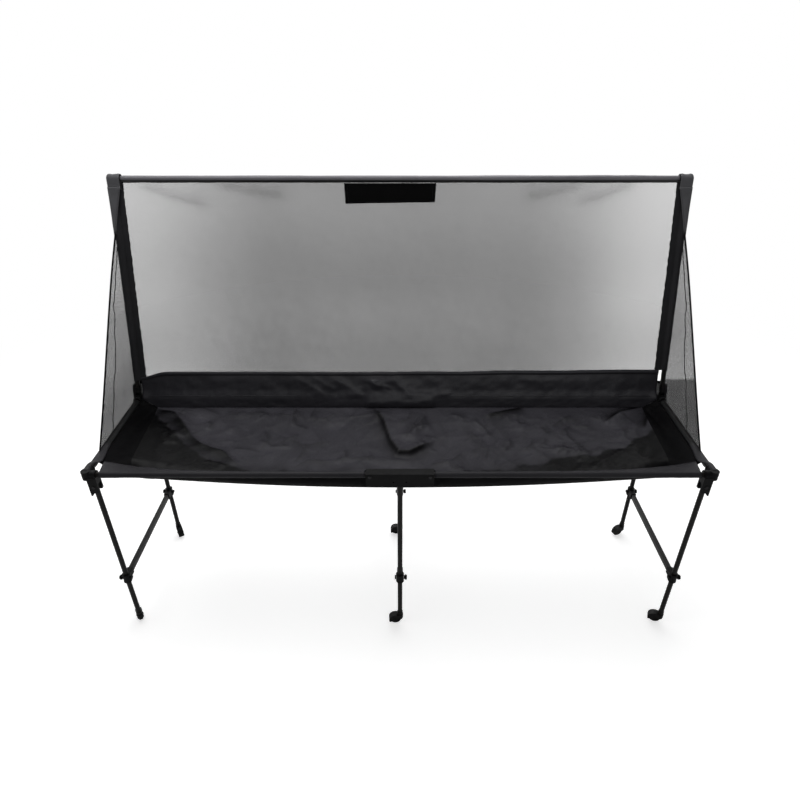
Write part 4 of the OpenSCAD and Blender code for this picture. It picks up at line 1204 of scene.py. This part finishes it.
def back_net():
    x = np.linspace(-NET_X - SIDE_LAP, NET_X + SIDE_LAP, 200)[:, None]
    up = np.linspace(0, 1, 72)[None, :]
    a = lerp(NET_FOOT - FOOT_LAP - band_droop(x / NET_X), NET_TOP + TOP_LAP, up)
    P = mast(x, a, net_billow(x, a))
    ob = net_sheet("back_netting", P, NET, np.stack(np.broadcast_arrays(x, a), -1))
    mark(ob, "folded", folded)
    return ob


def area_of(ob):
    return sum(p.area for p in ob.data.polygons)


net = back_net()
put("mast", "mesh", net)
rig.replaces(net, "back_net")
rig.sheet(net, flat=(2 * (NET_X + SIDE_LAP), NET_TOP - NET_FOOT + FOOT_LAP + TOP_LAP + DROOP),
         area=area_of(net), held="stretched",
         rests_on=["top_hem_cloth", "sleeve_left", "sleeve_right", "back_cloth"])


def in_plane(along, out):
    """A place on the mast as (y, z)."""
    return mast(0, along, out)[1:]


# Corners of a side net, as (y, z)
net_lo = low("side_net_right")
POST_OUT = -(HEM_R + 1.4 * MM)
FRONT_FOOT = np.array([net_lo.y - 9 * MM, net_lo.z - 1 * MM])
REAR_FOOT = np.array([Y_BACK - 34 * MM, net_lo.z])
POST_FOOT = in_plane(48 * MM, POST_OUT)
TIP = in_plane(head_of("side_net_right") + 4 * MM, POST_OUT - 1 * MM)
# The side nets are cut along the line from the hinge that halves the angle between rim and post, so that
# the low part lies down on the rim and the high part against the post.
HINGE = np.array([PIVOT.y, PIVOT.z])
HALF_FOLD = (math.pi / 2 + LEAN) / 2
SPLIT = np.array([-math.cos(HALF_FOLD), math.sin(HALF_FOLD)])


def cross_at(a, b):
    """Where the line from the mast's hinge along SPLIT meets the segment a-b."""
    d = b - a
    _, t = np.linalg.solve(np.stack([SPLIT, -d], 1), a - HINGE)
    return a + d * t


SPLIT_FRONT = cross_at(FRONT_FOOT, TIP)
SPLIT_REAR = cross_at(REAR_FOOT, POST_FOOT)
SEAM_TOP = lerp(POST_FOOT, TIP, 0.9)
SEAM_FOOT = lerp(FRONT_FOOT, REAR_FOOT, 0.36)
SEAM_CUT = cross_at(SEAM_FOOT, SEAM_TOP)
# Each part: its body, its lower and upper edge, the rows of points between them, its binding and its seam
SIDE_PARTS = {
    "low": ("frame", (REAR_FOOT, FRONT_FOOT), (SPLIT_REAR, SPLIT_FRONT), 34,
            (FRONT_FOOT, SPLIT_FRONT), (SEAM_FOOT, SEAM_CUT)),
    "high": ("mast", (SPLIT_REAR, SPLIT_FRONT), (POST_FOOT, TIP), 44,
             (SPLIT_FRONT, TIP), (SEAM_CUT, SEAM_TOP))}
SIDE_N = 60
FOLDED_KEEP = 0.015


def side_bulge(yz):
    """Soft in and out of a side net, nothing at its borders."""
    def from_edge(a, b):
        d = (b - a) / np.linalg.norm(b - a)
        return np.abs((yz[..., 0] - a[0]) * d[1] - (yz[..., 1] - a[1]) * d[0])

    borders = ((FRONT_FOOT, REAR_FOOT, 0.07), (FRONT_FOOT, TIP, 0.03), (POST_FOOT, TIP, 0.04))
    room = math.prod(np.clip(from_edge(a, b) / wide, 0, 1) for a, b, wide in borders)
    y, z = yz[..., 0], yz[..., 1]
    return room * (4.5 * MM * ripple(y, z, 95, 0.3) + 1.6 * MM * ripple(y, z, 96, 0.09))


def beside(yz, s):
    """Points of a side net, which hangs from the gusset's tip outside the post and comes down over the
    rim's hem."""
    y, z = yz[..., 0], yz[..., 1]
    swell = 6.5 * MM * smooth((z - RIM_Z) / 0.5) * smooth((0.3 - y + PIVOT.y) / 0.3)
    return np.stack([s * (SIDE_X + 1.0 * MM + swell + side_bulge(yz)), y, z], -1)


def side_netting(part, s):
    _, (a0, a1), (b0, b1), rows, _, _ = SIDE_PARTS[part]
    t = np.linspace(0, 1, SIDE_N)[:, None, None]
    h = np.linspace(0, 1, rows)[None, :, None]
    yz = lerp(a0, a1, t) * (1 - h) + lerp(b0, b1, t) * h
    return net_sheet(f"side_netting_{part}_{SIDES[s]}", beside(yz, s), SIDE_NETS[SIDES[s]], yz)


def side_tape(name, a, b, s, width, offset, thick):
    """A flat tape on a side net from a to b, moved sideways by a share of its half width."""
    path = beside(lerp(a, b, np.linspace(0, 1, SIDE_N)[:, None]), s)
    d = (b - a) / np.linalg.norm(b - a)
    across = np.array([0, d[1] * width, -d[0] * width])
    t = np.linspace(-1, 1, 5)[None, :, None]
    return cloth_sheet(name, (path + across * offset)[:, None] + across * t, TAPE_CLOTH, thick)


for s, side in SIDES.items():
    folds = {"low": dict(axis=(0, 0, 1), anchor=(s * SIDE_X, 0, float(net_lo.z) + 1 * MM), keep=FOLDED_KEEP),
             "high": dict(axis=(0, COS, -SIN), keep=FOLDED_KEEP,
                          anchor=tuple(mast(s * SIDE_X, 0.3, POST_OUT - 1.5 * MM).tolist()))}
    nettings = {part: side_netting(part, s) for part in SIDE_PARTS}
    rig.replaces(nettings["low"], f"side_net_{side}")
    for part, (body, _, _, _, binding, seam) in SIDE_PARTS.items():
        netting = nettings[part]
        pieces = (netting, side_tape(f"side_binding_{part}_{side}", *binding, s, 4.2 * MM, 0.8, 2.2 * MM),
                  side_tape(f"side_seam_{part}_{side}", *seam, s, 1.6 * MM, 0.0, 1.4 * MM))
        put(body, "mesh", *pieces)
        for ob in pieces:
            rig.squash(ob, "mast_fold", **folds[part])
        co = np.array([v.co for v in netting.data.vertices])
        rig.sheet(netting, flat=(float(np.ptp(co[:, 1])), float(np.ptp(co[:, 2]))), area=area_of(netting),
                 held="stretched", rests_on=[f"side_hem_{side}", f"sleeve_{side}"])


# ---------- stage ----------

scene = bpy.context.scene
scene.view_settings.view_transform = "Standard"
camera_data = bpy.data.cameras.new("camera")
camera = bpy.data.objects.new("camera", camera_data)
scene.collection.objects.link(camera)
camera.location = (0, -1.7252, 1.8038)
camera.rotation_euler = (math.radians(58.14), 0, 0)
camera_data.sensor_width = 36
camera_data.lens = 27.15
camera_data.clip_end = 60
scene.camera = camera


# Each lamp: its name, its place, what it aims at, its size and its power
LAMPS = [("overhead", (-0.3, 0.5, 3.0), (0, 0.05, 0.7), (3.4, 2.0), 52),
         ("front_fill", (0.6, -3.0, 2.2), (0, 0, 0.8), (2.4, 1.6), 9),
         ("back_glow", (0.0, 2.6, 1.9), (0, 0, 0.7), (4.0, 1.6), 34)]
for name, at, aim, size, power in LAMPS:
    data = bpy.data.lights.new(name, "AREA")
    data.shape = "RECTANGLE"
    data.size, data.size_y = size
    data.energy = power
    lamp = bpy.data.objects.new(name, data)
    scene.collection.objects.link(lamp)
    lamp.location = at
    lamp.rotation_euler = (Vector(aim) - Vector(at)).to_track_quat("-Z", "Y").to_euler()
    lamp.visible_camera = False

WHITE = (1, 1, 1, 1)
PALE_GREY = (0.78, 0.78, 0.78, 1)

# A white backdrop behind and above, and a dimmer room on the camera's side
world = bpy.data.worlds.new("studio")
scene.world = world
st = Tree(world)
ray = st.node("ShaderNodeLightPath").outputs
_, behind, above = st.split(st.node("ShaderNodeTexCoord").outputs["Generated"])
seen = st.math("MAXIMUM", ray["Is Glossy Ray"], ray["Is Transmission Ray"])
backdrop = st.math("MULTIPLY", st.fade(behind, -0.3, 0.6, 0.12, 1.0), st.fade(above, 0.45, 0.95, 1.0, 0.3))
soft, mirrored, white = (st.node("ShaderNodeBackground", WHITE, strength).outputs[0]
                         for strength in (st.fade(behind, -0.7, 0.7, 0.16, 0.42), backdrop, 1.0))
light = st.node("ShaderNodeMixShader", seen, soft, mirrored).outputs[0]
shown = st.node("ShaderNodeMixShader", ray["Is Camera Ray"], light, white).outputs[0]
st.node("ShaderNodeOutputWorld", shown)

# A pale floor that passes into the white backdrop further away
GROUND = 14
corners = [(x * GROUND, y * GROUND, 0) for x, y in ((-1, -1), (1, -1), (1, 1), (-1, 1))]
ground_look = bpy.data.materials.new("studio_floor")
st = Tree(ground_look)
place = st.node("ShaderNodeTexCoord").outputs["Object"]
distance = st.node("ShaderNodeVectorMath", place, operation="LENGTH").outputs["Value"]
to_camera = st.node("ShaderNodeLightPath").outputs["Is Camera Ray"]
diffuse = st.node("ShaderNodeBsdfDiffuse", PALE_GREY).outputs[0]
glow = st.node("ShaderNodeEmission", WHITE, st.math("MULTIPLY", to_camera, 0.6)).outputs[0]
near = st.node("ShaderNodeAddShader", diffuse, glow).outputs[0]
far = st.node("ShaderNodeEmission", WHITE, 1.0).outputs[0]
passing = st.math("MULTIPLY", to_camera, st.fade(distance, 1.5, 3.2, 0.0, 1.0))
st.node("ShaderNodeOutputMaterial", st.node("ShaderNodeMixShader", passing, near, far).outputs[0])
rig.stage(add_mesh("ground", corners, [(0, 1, 2, 3)], ground_look))

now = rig.bounds()
with open("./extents.json", "w") as f:
    json.dump({"cad": [list(map(float, p)) for p in cad_bounds],
               "visual": [list(map(float, p)) for p in now]}, f)
